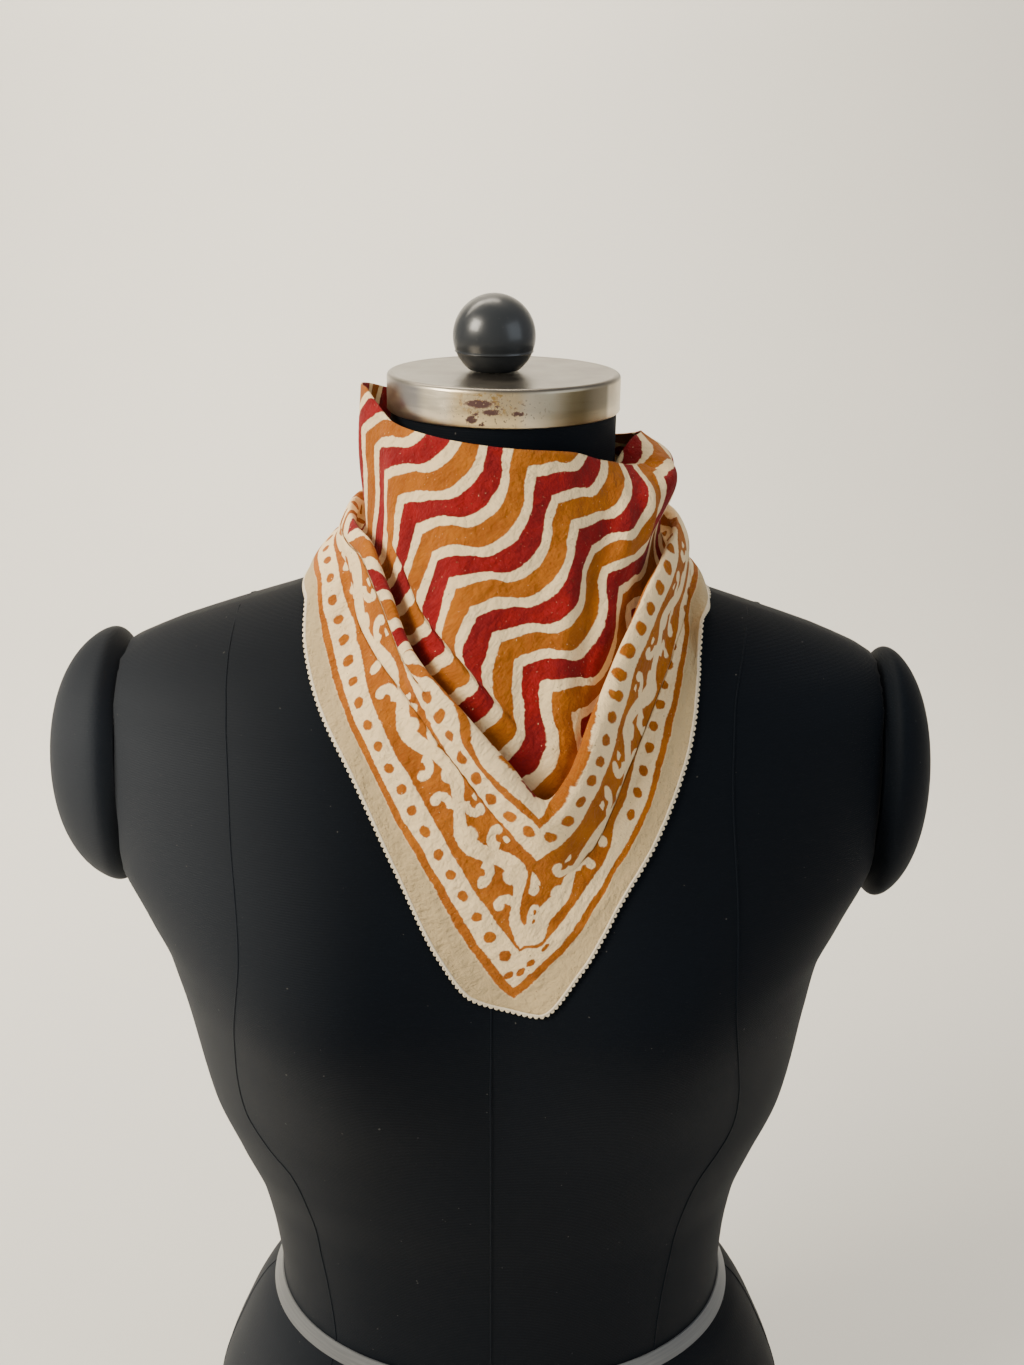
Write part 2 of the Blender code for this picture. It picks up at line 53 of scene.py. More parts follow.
# %% [markdown]
# ## The camera
# The photograph looks down at the collar from 0.65 m in front of the neck. A camera can be aimed
# with a constraint, but a fixed place, tilt and roll are easier to keep equal to the measured view.
# The lens is the measured focal length in pixels, turned into millimetres for a 36 mm long side.

# %% Camera
PHOTO_HEIGHT = 1365
FOCAL_PIXELS = 1390.0
SENSOR_LONG_SIDE = 36.0
CAMERA_PLACE = (0.0055, -0.65, 0.8156)
CAMERA_TILT = 69.0
CAMERA_ROLL = 0.7
CAMERA_NEAR = 0.01

camera_data = bpy.data.cameras.new("photo_camera")
camera_data.sensor_width = SENSOR_LONG_SIDE
camera_data.lens = SENSOR_LONG_SIDE * FOCAL_PIXELS / PHOTO_HEIGHT
camera_data.clip_start = CAMERA_NEAR
camera = bpy.data.objects.new("photo_camera", camera_data)
bpy.context.collection.objects.link(camera)
tilt = Matrix.Rotation(math.radians(CAMERA_TILT), 4, "X")
roll = Matrix.Rotation(math.radians(CAMERA_ROLL), 4, "Z")
camera.matrix_world = Matrix.Translation(CAMERA_PLACE) @ tilt @ roll
bpy.context.scene.camera = camera
print("lens", round(camera_data.lens, 2), "mm")

# %% [markdown]
# ## Floor, backdrop and soft light
# A studio sweep is a floor that curves up into a wall, so no line shows behind the object.
# One mesh strip with a quarter circle in it does that. The light comes from a wide panel at
# the upper left, as in the photograph, with a weaker one on the right and a pale world round it.


# %% Stage
def link_mesh(name, points, faces, finish=None):
    """A new object from points and faces, at the origin, shaded smooth."""
    mesh = bpy.data.meshes.new(name)
    mesh.from_pydata([tuple(map(float, point)) for point in points], [], faces)
    mesh.shade_smooth()
    if finish is not None:
        mesh.materials.append(finish)
    made = bpy.data.objects.new(name, mesh)
    bpy.context.collection.objects.link(made)
    return made


SWEEP_WIDTH = 6.0
SWEEP_NEAR = -2.5
SWEEP_FAR = 1.6
SWEEP_RADIUS = 1.0
SWEEP_HEIGHT = 4.0
SWEEP_BENDS = 12
WORLD_COLOUR = (0.86, 0.85, 0.83, 1.0)
WORLD_STRENGTH = 0.46
# name, place, point it faces, side in metres, watts and colour
LIGHTS = (
    ("window_light", (-1.6, -0.9, 1.7), (0.0, 0.0, 0.55), 0.9, 72.0, (1.0, 0.92, 0.77)),
    ("fill_light", (1.6, -0.9, 1.2), (0.0, 0.0, 0.55), 1.4, 9.0, (0.8, 0.9, 1.0)),
    ("wall_light", (-0.6, 0.9, 2.2), (-0.4, 2.4, 0.9), 1.6, 114.0, (1.0, 0.90, 0.74)),
)

sweep_profile = [(SWEEP_NEAR, 0.0), (SWEEP_FAR, 0.0)]
for step in range(1, SWEEP_BENDS + 1):
    turn = math.pi / 2.0 * step / SWEEP_BENDS
    out = SWEEP_FAR + SWEEP_RADIUS * math.sin(turn)
    sweep_profile.append((out, SWEEP_RADIUS * (1.0 - math.cos(turn))))
sweep_profile.append((SWEEP_FAR + SWEEP_RADIUS, SWEEP_HEIGHT))
sweep_points = [(side * SWEEP_WIDTH / 2.0, y, z) for y, z in sweep_profile for side in (-1, 1)]
sweep_faces = [(2 * i, 2 * i + 1, 2 * i + 3, 2 * i + 2) for i in range(len(sweep_profile) - 1)]
sweep = link_mesh("studio_sweep", sweep_points, sweep_faces)

world = bpy.data.worlds.new("soft_world")
world.use_nodes = True
world.node_tree.nodes["Background"].inputs["Color"].default_value = WORLD_COLOUR
world.node_tree.nodes["Background"].inputs["Strength"].default_value = WORLD_STRENGTH
bpy.context.scene.world = world

for name, place, target, size, watts, colour in LIGHTS:
    data = bpy.data.lights.new(name, "AREA")
    data.size = size
    data.energy = watts
    data.color = colour
    lamp = bpy.data.objects.new(name, data)
    bpy.context.collection.objects.link(lamp)
    lamp.location = place
    lamp.rotation_euler = (Vector(target) - Vector(place)).to_track_quat("-Z", "Y").to_euler()
print("lights", len(LIGHTS))

# %% [markdown]
# ## A small language for materials
# A shader's sums are easier to read as Python than as a web of nodes. One class holds a socket
# and overloads + - * / and the comparisons, each of which adds a Math node. Another holds the
# material and has one method that adds any other node.


# %% Shader sums
class Sum:
    """A shader socket that takes part in sums; each sum adds a Math node."""

    def __init__(self, finish, socket):
        self.finish = finish
        self.socket = socket

    def math(self, operation, *values):
        return self.finish.add("ShaderNodeMath", {"operation": operation}, dict(enumerate(values)))

    def __add__(self, other):
        return self.math("ADD", self, other)

    def __radd__(self, other):
        return self.math("ADD", other, self)

    def __sub__(self, other):
        return self.math("SUBTRACT", self, other)

    def __rsub__(self, other):
        return self.math("SUBTRACT", other, self)

    def __mul__(self, other):
        return self.math("MULTIPLY", self, other)

    def __rmul__(self, other):
        return self.math("MULTIPLY", other, self)

    def __truediv__(self, other):
        return self.math("DIVIDE", self, other)

    def __rtruediv__(self, other):
        return self.math("DIVIDE", other, self)

    def __neg__(self):
        return self.math("MULTIPLY", self, -1.0)

    def __lt__(self, other):
        return self.math("LESS_THAN", self, other)

    def __gt__(self, other):
        return self.math("GREATER_THAN", self, other)

    def absolute(self):
        return self.math("ABSOLUTE", self)

    def sine(self):
        return self.math("SINE", self)

    def cosine(self):
        return self.math("COSINE", self)

    def root(self):
        return self.math("SQRT", self)

    def floor(self):
        return self.math("FLOOR", self)

    def fraction(self):
        return self.math("FRACT", self)

    def least(self, other):
        return self.math("MINIMUM", self, other)

    def most(self, other):
        return self.math("MAXIMUM", self, other)

    def fade(self, low, high):
        """0 at low and 1 at high, with a soft step between them."""
        return self.finish.add(
            "ShaderNodeMapRange",
            {"interpolation_type": "SMOOTHSTEP"},
            {"Value": self, "From Min": low, "From Max": high},
        )


class Finish:
    """A material that is put together from Python sums."""

    def __init__(self, name, colour=(0.8, 0.8, 0.8), roughness=0.5, **constants):
        self.made = bpy.data.materials.new(name)
        self.made.use_nodes = True
        self.tree = self.made.node_tree
        self.shader = self.tree.nodes["Principled BSDF"]
        self.shader.inputs["Base Color"].default_value = (*colour, 1.0)
        self.shader.inputs["Roughness"].default_value = roughness
        for key, value in constants.items():
            socket = key.replace("_", " ").title().replace("Ior", "IOR")
            self.shader.inputs[socket].default_value = value

    def feed(self, socket, value):
        """Links a sum to a socket, or sets the socket to a number, vector or colour."""
        if isinstance(value, Sum):
            self.tree.links.new(value.socket, socket)
        elif hasattr(value, "__len__") and len(value) == 3 and len(socket.default_value) == 4:
            socket.default_value = (*value, 1.0)
        else:
            socket.default_value = value

    def add(self, kind, settings=None, values=None, out=0):
        """Adds one node: settings or a curve's points first, then its sockets' values or links."""
        node = self.tree.nodes.new(kind)
        for key, value in (settings or {}).items():
            if key == "curve":
                self.set_curve(node.mapping, value)
            else:
                setattr(node, key, value)
        for key, value in (values or {}).items():
            self.feed(node.inputs[key], value)
        return Sum(self, node.outputs[out])

    def set_curve(self, mapping, points):
        curve = mapping.curves[0]
        for place in points[2:]:
            curve.points.new(*place)
        for point, place in zip(curve.points, points):
            point.location = place
        mapping.update()

    def coordinates(self, name="Object"):
        return self.add("ShaderNodeTexCoord", out=name)

    def flat(self):
        """The cloth's flat cut: distances from its two hems, in millimetres."""
        place = self.add("ShaderNodeUVMap", {"uv_map": "flat_cut"})
        scaled = self.scaled(place, (PER_METRE, PER_METRE, PER_METRE))
        return scaled, self.part(scaled, 0), self.part(scaled, 1)

    def part(self, vector, index):
        return self.add("ShaderNodeSeparateXYZ", None, {0: vector}, index)

    def scaled(self, vector, scale):
        settings = {"operation": "MULTIPLY"}
        return self.add("ShaderNodeVectorMath", settings, {0: vector, 1: scale})

    def noise(self, vector, scale=1.0, detail=2.0, roughness=0.5, out=0):
        values = {"Vector": vector, "Scale": scale, "Detail": detail, "Roughness": roughness}
        return self.add("ShaderNodeTexNoise", None, values, out)

    def mixed(self, factor, first, second):
        """Two colours mixed by a factor, through a Mix node's colour sockets."""
        return self.add("ShaderNodeMix", {"data_type": "RGBA"}, {0: factor, 6: first, 7: second}, 2)

    def bump(self, height, distance, strength=1.0, under=None):
        values = {"Height": height, "Distance": distance, "Strength": strength}
        if under is not None:
            values["Normal"] = under
        return self.add("ShaderNodeBump", None, values)

    def finish(self, **links):
        for name, value in links.items():
            self.feed(self.shader.inputs[name.replace("_", " ").title()], value)
        return self.made


def above(value, bound=0.0, soft=0.25):
    """1 where a value is above a bound, with a softened edge."""
    return value.fade(bound - soft, bound + soft)


def between(value, low, high, soft=0.25):
    """1 where a value lies between two bounds, with softened edges."""
    return above(value, low, soft) * (1.0 - above(value, high, soft))


def disc(x, y, cx, cy, rx, ry, soft=0.12):
    """1 inside an ellipse."""
    ax = (x - cx) / rx
    ay = (y - cy) / ry
    return 1.0 - (ax * ax + ay * ay).fade((1.0 - soft) ** 2, (1.0 + soft) ** 2)


def ink(red, green, blue):
    """A screen colour, 0 to 255, as the linear colour that shaders use."""
    shares = (red / 255, green / 255, blue / 255)
    return tuple(((c + 0.055) / 1.055) ** 2.4 if c > 0.04045 else c / 12.92 for c in shares)


print("shader sums ready")

# %% [markdown]
# ## Floor finish
# Even a plain floor has some life: a faint, wide mottle of tone, and a matte surface.

# %% Floor finish
FLOOR_MOTTLE = (1.3, 3.0)
FLOOR_DARK = ink(214, 213, 208)
FLOOR_LIGHT = ink(224, 222, 217)
floor_finish = Finish("pale_floor", roughness=0.9)
floor_tone = floor_finish.noise(floor_finish.coordinates(), *FLOOR_MOTTLE)
floor_colour = floor_finish.mixed(floor_tone, FLOOR_DARK, FLOOR_LIGHT)
sweep.data.materials.append(floor_finish.finish(base_color=floor_colour))
print("floor finished")

# %% [markdown]
# ## Black jersey
# Display forms wear a tight knitted cover. Its fine ribs run level round the body and barely
# show, so a stretched noise and a fine wave make the bump, and the colour hardly changes. Low
# on the left side, where the window light falls, grey is mixed into the black as painted light.
# A knit made of real loops would be millions of faces for a thing that is seen as plain black.

# %% Jersey finish
RIB_PITCH = 0.0011
KNIT_STRETCH = (900.0, 900.0, 2600.0)
# noises: scale and detail
WEAR_NOISE = (9.0, 4.0)
LINT_NOISE = (420.0, 1.0)
LINT_RARE = (0.80, 0.815)
KNIT_SHARE = 0.55
TONE_RANGE = (0.25, 0.8)
RIB_RELIEF = 0.12
KNIT_RELIEF = 0.65
# bumps: distance in metres and strength
JERSEY_BUMP = (0.00025, 0.6)
JERSEY_ROUGH = 0.58
WEAR_ROUGH = 0.2
FORM_BLACK = ink(7, 12, 19)
# painted light: a grey mixed into the black low on the left side, where the window light falls
PAINTED_LEFT_LIGHT = ink(50, 53, 58)
LINT_GREY = ink(96, 94, 90)
DARKER = 0.72
LIGHTER = 1.30
# how far to the left the painted light grows, at which heights it weakens and by how much
PAINTED_LIGHT_LEFT = (0.05, 0.21)
PAINTED_LIGHT_TOP = (0.55, 0.60)
PAINTED_LIGHT_LOST = 0.75


def jersey(name, colour, lint):
    """Matte black knit with fine ribs and lint, and painted light in grey low on its left side."""
    cloth = Finish(name, sheen_weight=0.035, sheen_roughness=0.4, specular_ior_level=0.08)
    place = cloth.coordinates()
    height = cloth.part(place, 2)
    rib = (height * (2.0 * math.pi / RIB_PITCH)).sine()
    knit = cloth.noise(cloth.scaled(place, KNIT_STRETCH))
    wear = cloth.noise(place, *WEAR_NOISE)
    speck = cloth.noise(place, *LINT_NOISE).fade(*LINT_RARE) * lint
    tone = (knit * KNIT_SHARE + wear * (1.0 - KNIT_SHARE)).fade(*TONE_RANGE)
    dark = tuple(c * DARKER for c in colour)
    light = tuple(c * LIGHTER for c in colour)
    # painted light: grey mixed in on the left side, weaker higher up
    painted_light = (-cloth.part(place, 0)).fade(*PAINTED_LIGHT_LEFT) * (1.0 - height.fade(*PAINTED_LIGHT_TOP) * PAINTED_LIGHT_LOST)
    seen = cloth.mixed(painted_light, cloth.mixed(tone, dark, light), PAINTED_LEFT_LIGHT)
    seen = cloth.mixed(speck, seen, LINT_GREY)
    relief = cloth.bump(rib * RIB_RELIEF + knit * KNIT_RELIEF, *JERSEY_BUMP)
    rough = JERSEY_ROUGH + wear * WEAR_ROUGH
    return cloth.finish(base_color=seen, roughness=rough, normal=relief)


FORM_LINT = 0.5
form_jersey = jersey("form_jersey", FORM_BLACK, FORM_LINT)
print("jersey ready")

# %% [markdown]
# ## Tables that describe curves
# Each outline of the form and the cloth is a short table of named columns. A smooth curve that
# never overshoots its rows joins them, so a row can be moved without ripples further along.


# %% Curves through tables
MERGE_GAP = 1e-6


def smooth_value(keys, values, at):
    """Cubic through a table's rows that never overshoots them."""
    keys = np.asarray(keys, float)
    values = np.asarray(values, float)
    steps = np.diff(keys)
    slopes = np.diff(values) / steps
    before = slopes[:-1]
    after = slopes[1:]
    tangents = np.zeros(len(keys))
    turning = before * after <= 0.0
    both = np.where(turning, 1.0, before + after)
    tangents[1:-1] = np.where(turning, 0.0, 2.0 * before * after / both)
    tangents[0] = slopes[0]
    tangents[-1] = slopes[-1]
    at = np.clip(at, keys[0], keys[-1])
    i = np.minimum(np.searchsorted(keys, at, side="right") - 1, len(steps) - 1)
    t = (at - keys[i]) / steps[i]
    rise = (3.0 - 2.0 * t) * t * t
    start = tangents[i] * steps[i] * t * (1.0 - t) ** 2
    end = tangents[i + 1] * steps[i] * t * t * (1.0 - t)
    return values[i] + (values[i + 1] - values[i]) * rise + start - end


def table_value(rows, names, name, at):
    """One named column of a table, read at the given keys."""
    column = names.index(name)
    return smooth_value([row[0] for row in rows], [row[column] for row in rows], at)


def grid_faces(columns, rows, closed=False):
    """Quads of a grid of points; closed joins the last column to the first."""
    faces = []
    for i in range(columns if closed else columns - 1):
        k = (i + 1) % columns
        for j in range(rows - 1):
            faces.append((i * rows + j, k * rows + j, k * rows + j + 1, i * rows + j + 1))
    return faces


def closed_faces(columns, rows):
    """Quads of a grid that is closed round, with one flat face over each end."""
    first = tuple(i * rows for i in range(columns))
    last = tuple(i * rows + rows - 1 for i in range(columns))
    return [*grid_faces(columns, rows, closed=True), first, last]


def face_outwards(made):
    """Merges doubles and turns every face of a closed mesh outwards."""
    work = bmesh.new()
    work.from_mesh(made.data)
    bmesh.ops.remove_doubles(work, verts=work.verts, dist=MERGE_GAP)
    bmesh.ops.recalc_face_normals(work, faces=work.faces)
    work.to_mesh(made.data)
    work.free()
    return made


print("half way", smooth_value([0, 1, 2], [0.0, 2.0, 3.0], 0.5))

# %% [markdown]
# ## The torso
# The real torso is a padded shell under a sewn cover. The solid has the same sections with few
# faces, so this finer skin takes its place: about 30,000 faces give a clean edge to the
# shoulders and chest. A table of sections was chosen over sculpting, because it stays exact.

# %% Torso
TORSO_COLUMNS = ("drop", "half_width", "front", "back", "square", "shift")
TORSO_SECTIONS = (
    (17.3, 52.5, 52.5, 52.5, 2.0, 0.0),
    (60.0, 52.5, 52.5, 52.5, 2.0, 0.0),
    (85.0, 57.0, 54.0, 57.0, 2.0, 0.0),
    (95.0, 76.0, 58.0, 65.0, 1.7, -0.5),
    (105.0, 103.0, 62.0, 73.0, 1.6, -1.0),
    (117.0, 140.0, 67.5, 82.0, 1.65, -2.0),
    (128.0, 170.0, 73.0, 88.0, 1.75, -2.0),
    (139.0, 189.0, 77.5, 93.0, 1.95, -2.0),
    (157.0, 197.0, 84.0, 97.0, 2.2, -2.0),
    (190.0, 198.0, 94.0, 101.0, 2.35, -2.0),
    (230.0, 195.0, 104.0, 101.0, 2.4, -2.0),
    (262.0, 181.0, 111.0, 99.0, 2.4, -2.0),
    (285.0, 170.0, 114.0, 97.0, 2.4, -2.0),
    (315.0, 165.0, 113.0, 92.0, 2.3, -1.0),
    (374.0, 157.0, 107.0, 86.0, 2.2, 0.0),
    (407.0, 146.0, 103.0, 83.0, 2.15, 0.0),
    (442.0, 134.5, 98.5, 81.0, 2.1, 1.0),
    (478.0, 129.0, 96.0, 80.0, 2.1, 2.0),
    (511.0, 127.0, 95.0, 82.0, 2.1, 3.0),
    (517.0, 128.5, 95.5, 83.0, 2.1, 3.0),
    (532.0, 140.0, 100.0, 89.0, 2.1, 3.0),
    (555.0, 152.0, 104.0, 97.0, 2.1, 3.0),
    (606.0, 170.0, 110.0, 110.0, 2.2, 3.0),
    (660.0, 177.0, 112.0, 117.0, 2.2, 3.0),
    (720.0, 178.0, 112.0, 117.0, 2.2, 3.0),
)
ARMHOLE_X = 0.185
BUST_SIDE = 0.083
BUST_DROP = 0.285
BUST_RISE = 0.021
BUST_SPREAD_SIDE = 0.043
BUST_SPREAD_HEIGHT = 0.050
TORSO_SIDES = 192
TORSO_RINGS = 170
TORSO_CREASE = math.radians(50.0)


def torso_points(drops, turns):
    """Points of the form's skin: drops in metres below the cap's top, turns from the front."""
    drops, turns = np.broadcast_arrays(np.asarray(drops, float), np.asarray(turns, float))
    size = {
        name: table_value(TORSO_SECTIONS, TORSO_COLUMNS, name, drops / MM)
        for name in TORSO_COLUMNS[1:]
    }
    side = np.sin(turns)
    ahead = np.cos(turns)
    power = 2.0 / size["square"]
    x = np.sign(side) * np.abs(side) ** power * size["half_width"] * MM + size["shift"] * MM
    x = np.clip(x, -ARMHOLE_X, ARMHOLE_X)
    reach = np.where(ahead > 0.0, size["front"], size["back"]) * MM
    y = -np.sign(ahead) * np.abs(ahead) ** power * reach
    across = (np.abs(x) - BUST_SIDE) / BUST_SPREAD_SIDE
    down = (drops - BUST_DROP) / BUST_SPREAD_HEIGHT
    bust = BUST_RISE * np.sqrt(np.maximum(ahead, 0.0)) * np.exp(-0.5 * (across ** 2 + down ** 2))
    return np.stack([x, y - bust, CAP_TOP - drops], axis=-1)


torso_drops = np.linspace(TORSO_SECTIONS[0][0], TORSO_SECTIONS[-1][0], TORSO_RINGS) * MM
torso_turns = np.arange(TORSO_SIDES) * 2.0 * math.pi / TORSO_SIDES
skin = torso_points(torso_drops[None, :], torso_turns[:, None])
torso_faces = closed_faces(TORSO_SIDES, TORSO_RINGS)
torso = face_outwards(link_mesh("torso_skin", skin.reshape(-1, 3), torso_faces, form_jersey))
torso.data.set_sharp_from_angle(angle=TORSO_CREASE)
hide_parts("form_torso")
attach(torso, "root")
skin_corners = [vertex.co.copy() for vertex in torso.data.vertices]
torso_tree = BVHTree.FromPolygons(skin_corners, [tuple(p.vertices) for p in torso.data.polygons])
print("torso faces", len(torso.data.polygons))

# %% [markdown]
# ## Seams of the cover
# The form's cover is sewn from panels, and its seams show as fine ridges: one down the front and
# back, one over each breast, and one down each side. Each seam is a table of places that is laid
# on the skin, then a thin tube. A bump in the material would need a map drawn for this one form.

# %% Cover seams
SEAM_RADIUS = 0.00050
SEAM_SIDES = 6
SEAM_STEPS = 150
SEAM_LIGHTER = 1.25
SEAM_LINT = 0.2
SEAM_COLUMNS = ("drop", "side", "depth")
CENTRE_FRONT = (
    (112, -1, -66),
    (190, -1.5, -94),
    (306, -2, -117),
    (350, -1.8, -111),
    (485, -1.3, -96),
    (517, -1, -95),
    (606, -1, -110),
    (716, -1, -112),
)
CENTRE_BACK = (
    (108, 0, 76),
    (190, -2, 101),
    (315, -1, 92),
    (442, 1, 81),
    (511, 3, 82),
    (606, 3, 110),
    (716, 3, 117),
)
BREAST_LEFT = (
    (110, -127, 12),
    (120, -127, -30),
    (146, -125, -63),
    (200, -122, -86),
    (256, -118, -104),
    (355, -125, -78),
    (377, -114, -80),
    (391, -104, -83),
    (424, -95, -77),
    (456, -91, -71),
    (518, -87, -71),
    (606, -93, -90),
    (716, -97, -95),
)
BREAST_RIGHT = (
    (110, 121, 12),
    (122, 113, -40),
    (142, 107, -65),
    (168, 106, -78),
    (221, 109, -97),
    (270, 110, -110),
    (355, 116, -82),
    (391, 103, -83),
    (456, 90, -71),
    (518, 86, -71),
    (606, 93, -90),
    (716, 97, -95),
)
BACK_LEFT = (
    (112, -127, 20),
    (150, -120, 80),
    (200, -117, 92),
    (300, -104, 82),
    (400, -92, 70),
    (478, -82, 62),
    (518, -80, 64),
    (606, -90, 92),
    (716, -95, 100),
)
BACK_SHIFT = 4
SIDE_SHIFT = 3
BACK_RIGHT = tuple((drop, BACK_SHIFT - side, depth) for drop, side, depth in BACK_LEFT)
SIDE_LEFT = (
    (262, -183, 0),
    (315, -166, 0),
    (407, -146, 0),
    (478, -127, 0),
    (517, -126, 0),
    (606, -167, 0),
    (716, -175, 0),
)
SIDE_RIGHT = tuple((drop, SIDE_SHIFT - side, depth) for drop, side, depth in SIDE_LEFT)
SEAMS = (
    CENTRE_FRONT,
    CENTRE_BACK,
    BREAST_LEFT,
    BREAST_RIGHT,
    BACK_LEFT,
    BACK_RIGHT,
    SIDE_LEFT,
    SIDE_RIGHT,
)


def tube(points, ups, radius, sides):
    """Points and faces of a closed tube along a line."""
    along = np.gradient(points, axis=0)
    along /= np.linalg.norm(along, axis=1, keepdims=True)
    across = np.cross(along, ups)
    across /= np.linalg.norm(across, axis=1, keepdims=True)
    ups = np.cross(across, along)
    turns = 2.0 * math.pi * np.arange(sides) / sides
    rings = [points + radius * (across * math.cos(a) + ups * math.sin(a)) for a in turns]
    return np.stack(rings, axis=0).reshape(-1, 3), closed_faces(sides, len(points))


seam_points = []
seam_faces = []
for rows in SEAMS:
    drops = np.linspace(rows[0][0], rows[-1][0], SEAM_STEPS)
    side = table_value(rows, SEAM_COLUMNS, "side", drops) * MM
    depth = table_value(rows, SEAM_COLUMNS, "depth", drops) * MM
    places = zip(side, depth, CAP_TOP - drops * MM)
    found = [torso_tree.find_nearest(Vector(place)) for place in places]
    line = np.array([hit[0] for hit in found])
    ups = np.array([hit[1] for hit in found])
    points, faces = tube(line, ups, SEAM_RADIUS, SEAM_SIDES)
    start = sum(len(part) for part in seam_points)
    seam_points.append(points)
    seam_faces += [tuple(start + v for v in face) for face in faces]
seam_jersey = jersey("seam_jersey", tuple(c * SEAM_LIGHTER for c in FORM_BLACK), SEAM_LINT)
cover_seams = link_mesh("cover_seams", np.concatenate(seam_points), seam_faces, seam_jersey)
cover_seams = face_outwards(cover_seams)
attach(cover_seams, "root")
print("seams", len(SEAMS))

# %% [markdown]
# ## Arm covers
# The armholes are closed with stuffed ovals. Each is pulled in where it is sewn on and is fullest
# just outside the seam, like the end of a bolster, so its section grows from the armhole first.

# %% Arm covers
ARM_COVER_HEIGHT = 0.138
ARM_COVER_DEPTH = 0.106
ARM_COVER_SINK = 0.06
ARM_COVER_GAP = 0.0003
ARM_COVER_PULL = 0.17
ARM_COVER_PULL_DEPTH = 0.0045
ARM_COVER_PULL_POWER = 1.5
ARM_COVER_ROUND = 0.8
ARM_COVER_CROWD = 1.4
ARM_COVER_SIDES = 128
ARM_COVER_RINGS = 48
# name, side, bulge and drop of the middle below the cap's top
ARM_COVERS = (
    ("arm_cover_left", -1, 0.040, 0.195),
    ("arm_cover_right", 1, 0.030, 0.200),
)

for name, side, bulge, drop in ARM_COVERS:
    rings = np.linspace(0.0, 1.0, ARM_COVER_RINGS, endpoint=False)
    rise = (rings ** ARM_COVER_CROWD * math.pi / 2.0)[None, :]
    around = (np.arange(ARM_COVER_SIDES) * 2.0 * math.pi / ARM_COVER_SIDES)[:, None]
    out = bulge * np.sin(rise)
    pulled = np.exp(-((out / ARM_COVER_PULL_DEPTH) ** ARM_COVER_PULL_POWER))
    grow = np.cos(rise) ** ARM_COVER_ROUND * (1.0 - ARM_COVER_PULL * pulled)
    x = side * (ARMHOLE_X + ARM_COVER_GAP + out) + 0.0 * around
    y = ARM_COVER_DEPTH / 2.0 * grow * np.cos(around)
    z = CAP_TOP - drop + ARM_COVER_HEIGHT / 2.0 * grow * np.sin(around) - ARM_COVER_SINK * out
    points = np.stack([x, y, z], axis=-1).reshape(-1, 3)
    faces = closed_faces(ARM_COVER_SIDES, ARM_COVER_RINGS)
    pad = face_outwards(link_mesh(name + "_pad", points, faces, form_jersey))
    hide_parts(name)
    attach(pad, "root")
print("arm covers", len(ARM_COVERS))

# %% [markdown]
# ## Waist tape
# A narrow grey tape marks the waist. It is laid on the skin's own points and moved out.

# %% Waist tape
WAIST_DROP = 0.518
BAND_HEIGHT = 0.009
BAND_LIFT = 0.0003
BAND_WALL = 0.0011
BAND_CREASE = math.radians(40.0)
TAPE_STRETCH = (30.0, 30.0, 900.0)
TAPE_BUMP = (0.0002, 0.5)
TAPE_ROUGH = 0.35
TONE_ROUGH = 0.2
TAPE_DARK = ink(66, 68, 71)
TAPE_LIGHT = ink(112, 114, 116)
# share of the height and distance from the skin, round the tape's section
BAND_SECTION = (
    (-0.5, BAND_LIFT),
    (0.5, BAND_LIFT),
    (0.5, BAND_WALL),
    (0.4, BAND_WALL + BAND_LIFT),
    (-0.4, BAND_WALL + BAND_LIFT),
    (-0.5, BAND_WALL),
)
band_drops = np.array([WAIST_DROP + share * BAND_HEIGHT for share, _ in BAND_SECTION])
band_points = torso_points(band_drops[None, :], torso_turns[:, None])
band_away = band_points * (1.0, 1.0, 0.0)
band_away /= np.linalg.norm(band_away, axis=2, keepdims=True)
band_points = band_points + band_away * np.array([out for _, out in BAND_SECTION])[None, :, None]
rows = len(BAND_SECTION)
band_faces = grid_faces(TORSO_SIDES, rows, closed=True)
for i in range(TORSO_SIDES):
    k = (i + 1) % TORSO_SIDES
    band_faces.append((i * rows + rows - 1, k * rows + rows - 1, k * rows, i * rows))

tape_finish = Finish("satin_tape", roughness=0.4, sheen_weight=0.1)
tape_place = tape_finish.scaled(tape_finish.coordinates(), TAPE_STRETCH)
tape_tone = tape_finish.noise(tape_place)
tape_finish.finish(
    base_color=tape_finish.mixed(tape_tone, TAPE_DARK, TAPE_LIGHT),
    roughness=TAPE_ROUGH + tape_tone * TONE_ROUGH,
    normal=tape_finish.bump(tape_tone, *TAPE_BUMP),
)
tape = link_mesh("waist_tape_band", band_points.reshape(-1, 3), band_faces, tape_finish.made)
tape = face_outwards(tape)
tape.data.set_sharp_from_angle(angle=BAND_CREASE)
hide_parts("waist_band")
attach(tape, "root")
print("tape faces", len(tape.data.polygons))

# %% [markdown]
# ## Turned shapes
# The neck cap is a pressed steel lid with a rolled edge, and the knob a moulded ball. Both are
# turned shapes, so one outline spun round is all they need. A Screw modifier would do the same,
# but a grid of points closes both ends without a seam.

# %% Turned shapes
TURNED_SIDES = 160


def turned(name, profile, side, finish, sharp):
    """An upright turned solid from (radius, height) pairs."""
    radius = np.array([row[0] for row in profile])[None, :]
    height = np.array([row[1] for row in profile])[None, :]
    turn = (np.arange(TURNED_SIDES) * 2.0 * math.pi / TURNED_SIDES)[:, None]
    x = side + radius * np.sin(turn)
    points = np.stack([x, -radius * np.cos(turn), height + 0.0 * turn], axis=-1).reshape(-1, 3)
    made = link_mesh(name, points, closed_faces(TURNED_SIDES, len(profile)), finish)
    made = face_outwards(made)
    made.data.set_sharp_from_angle(angle=math.radians(sharp))
    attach(made, "root")
    return made


print("sides of turned shapes", TURNED_SIDES)
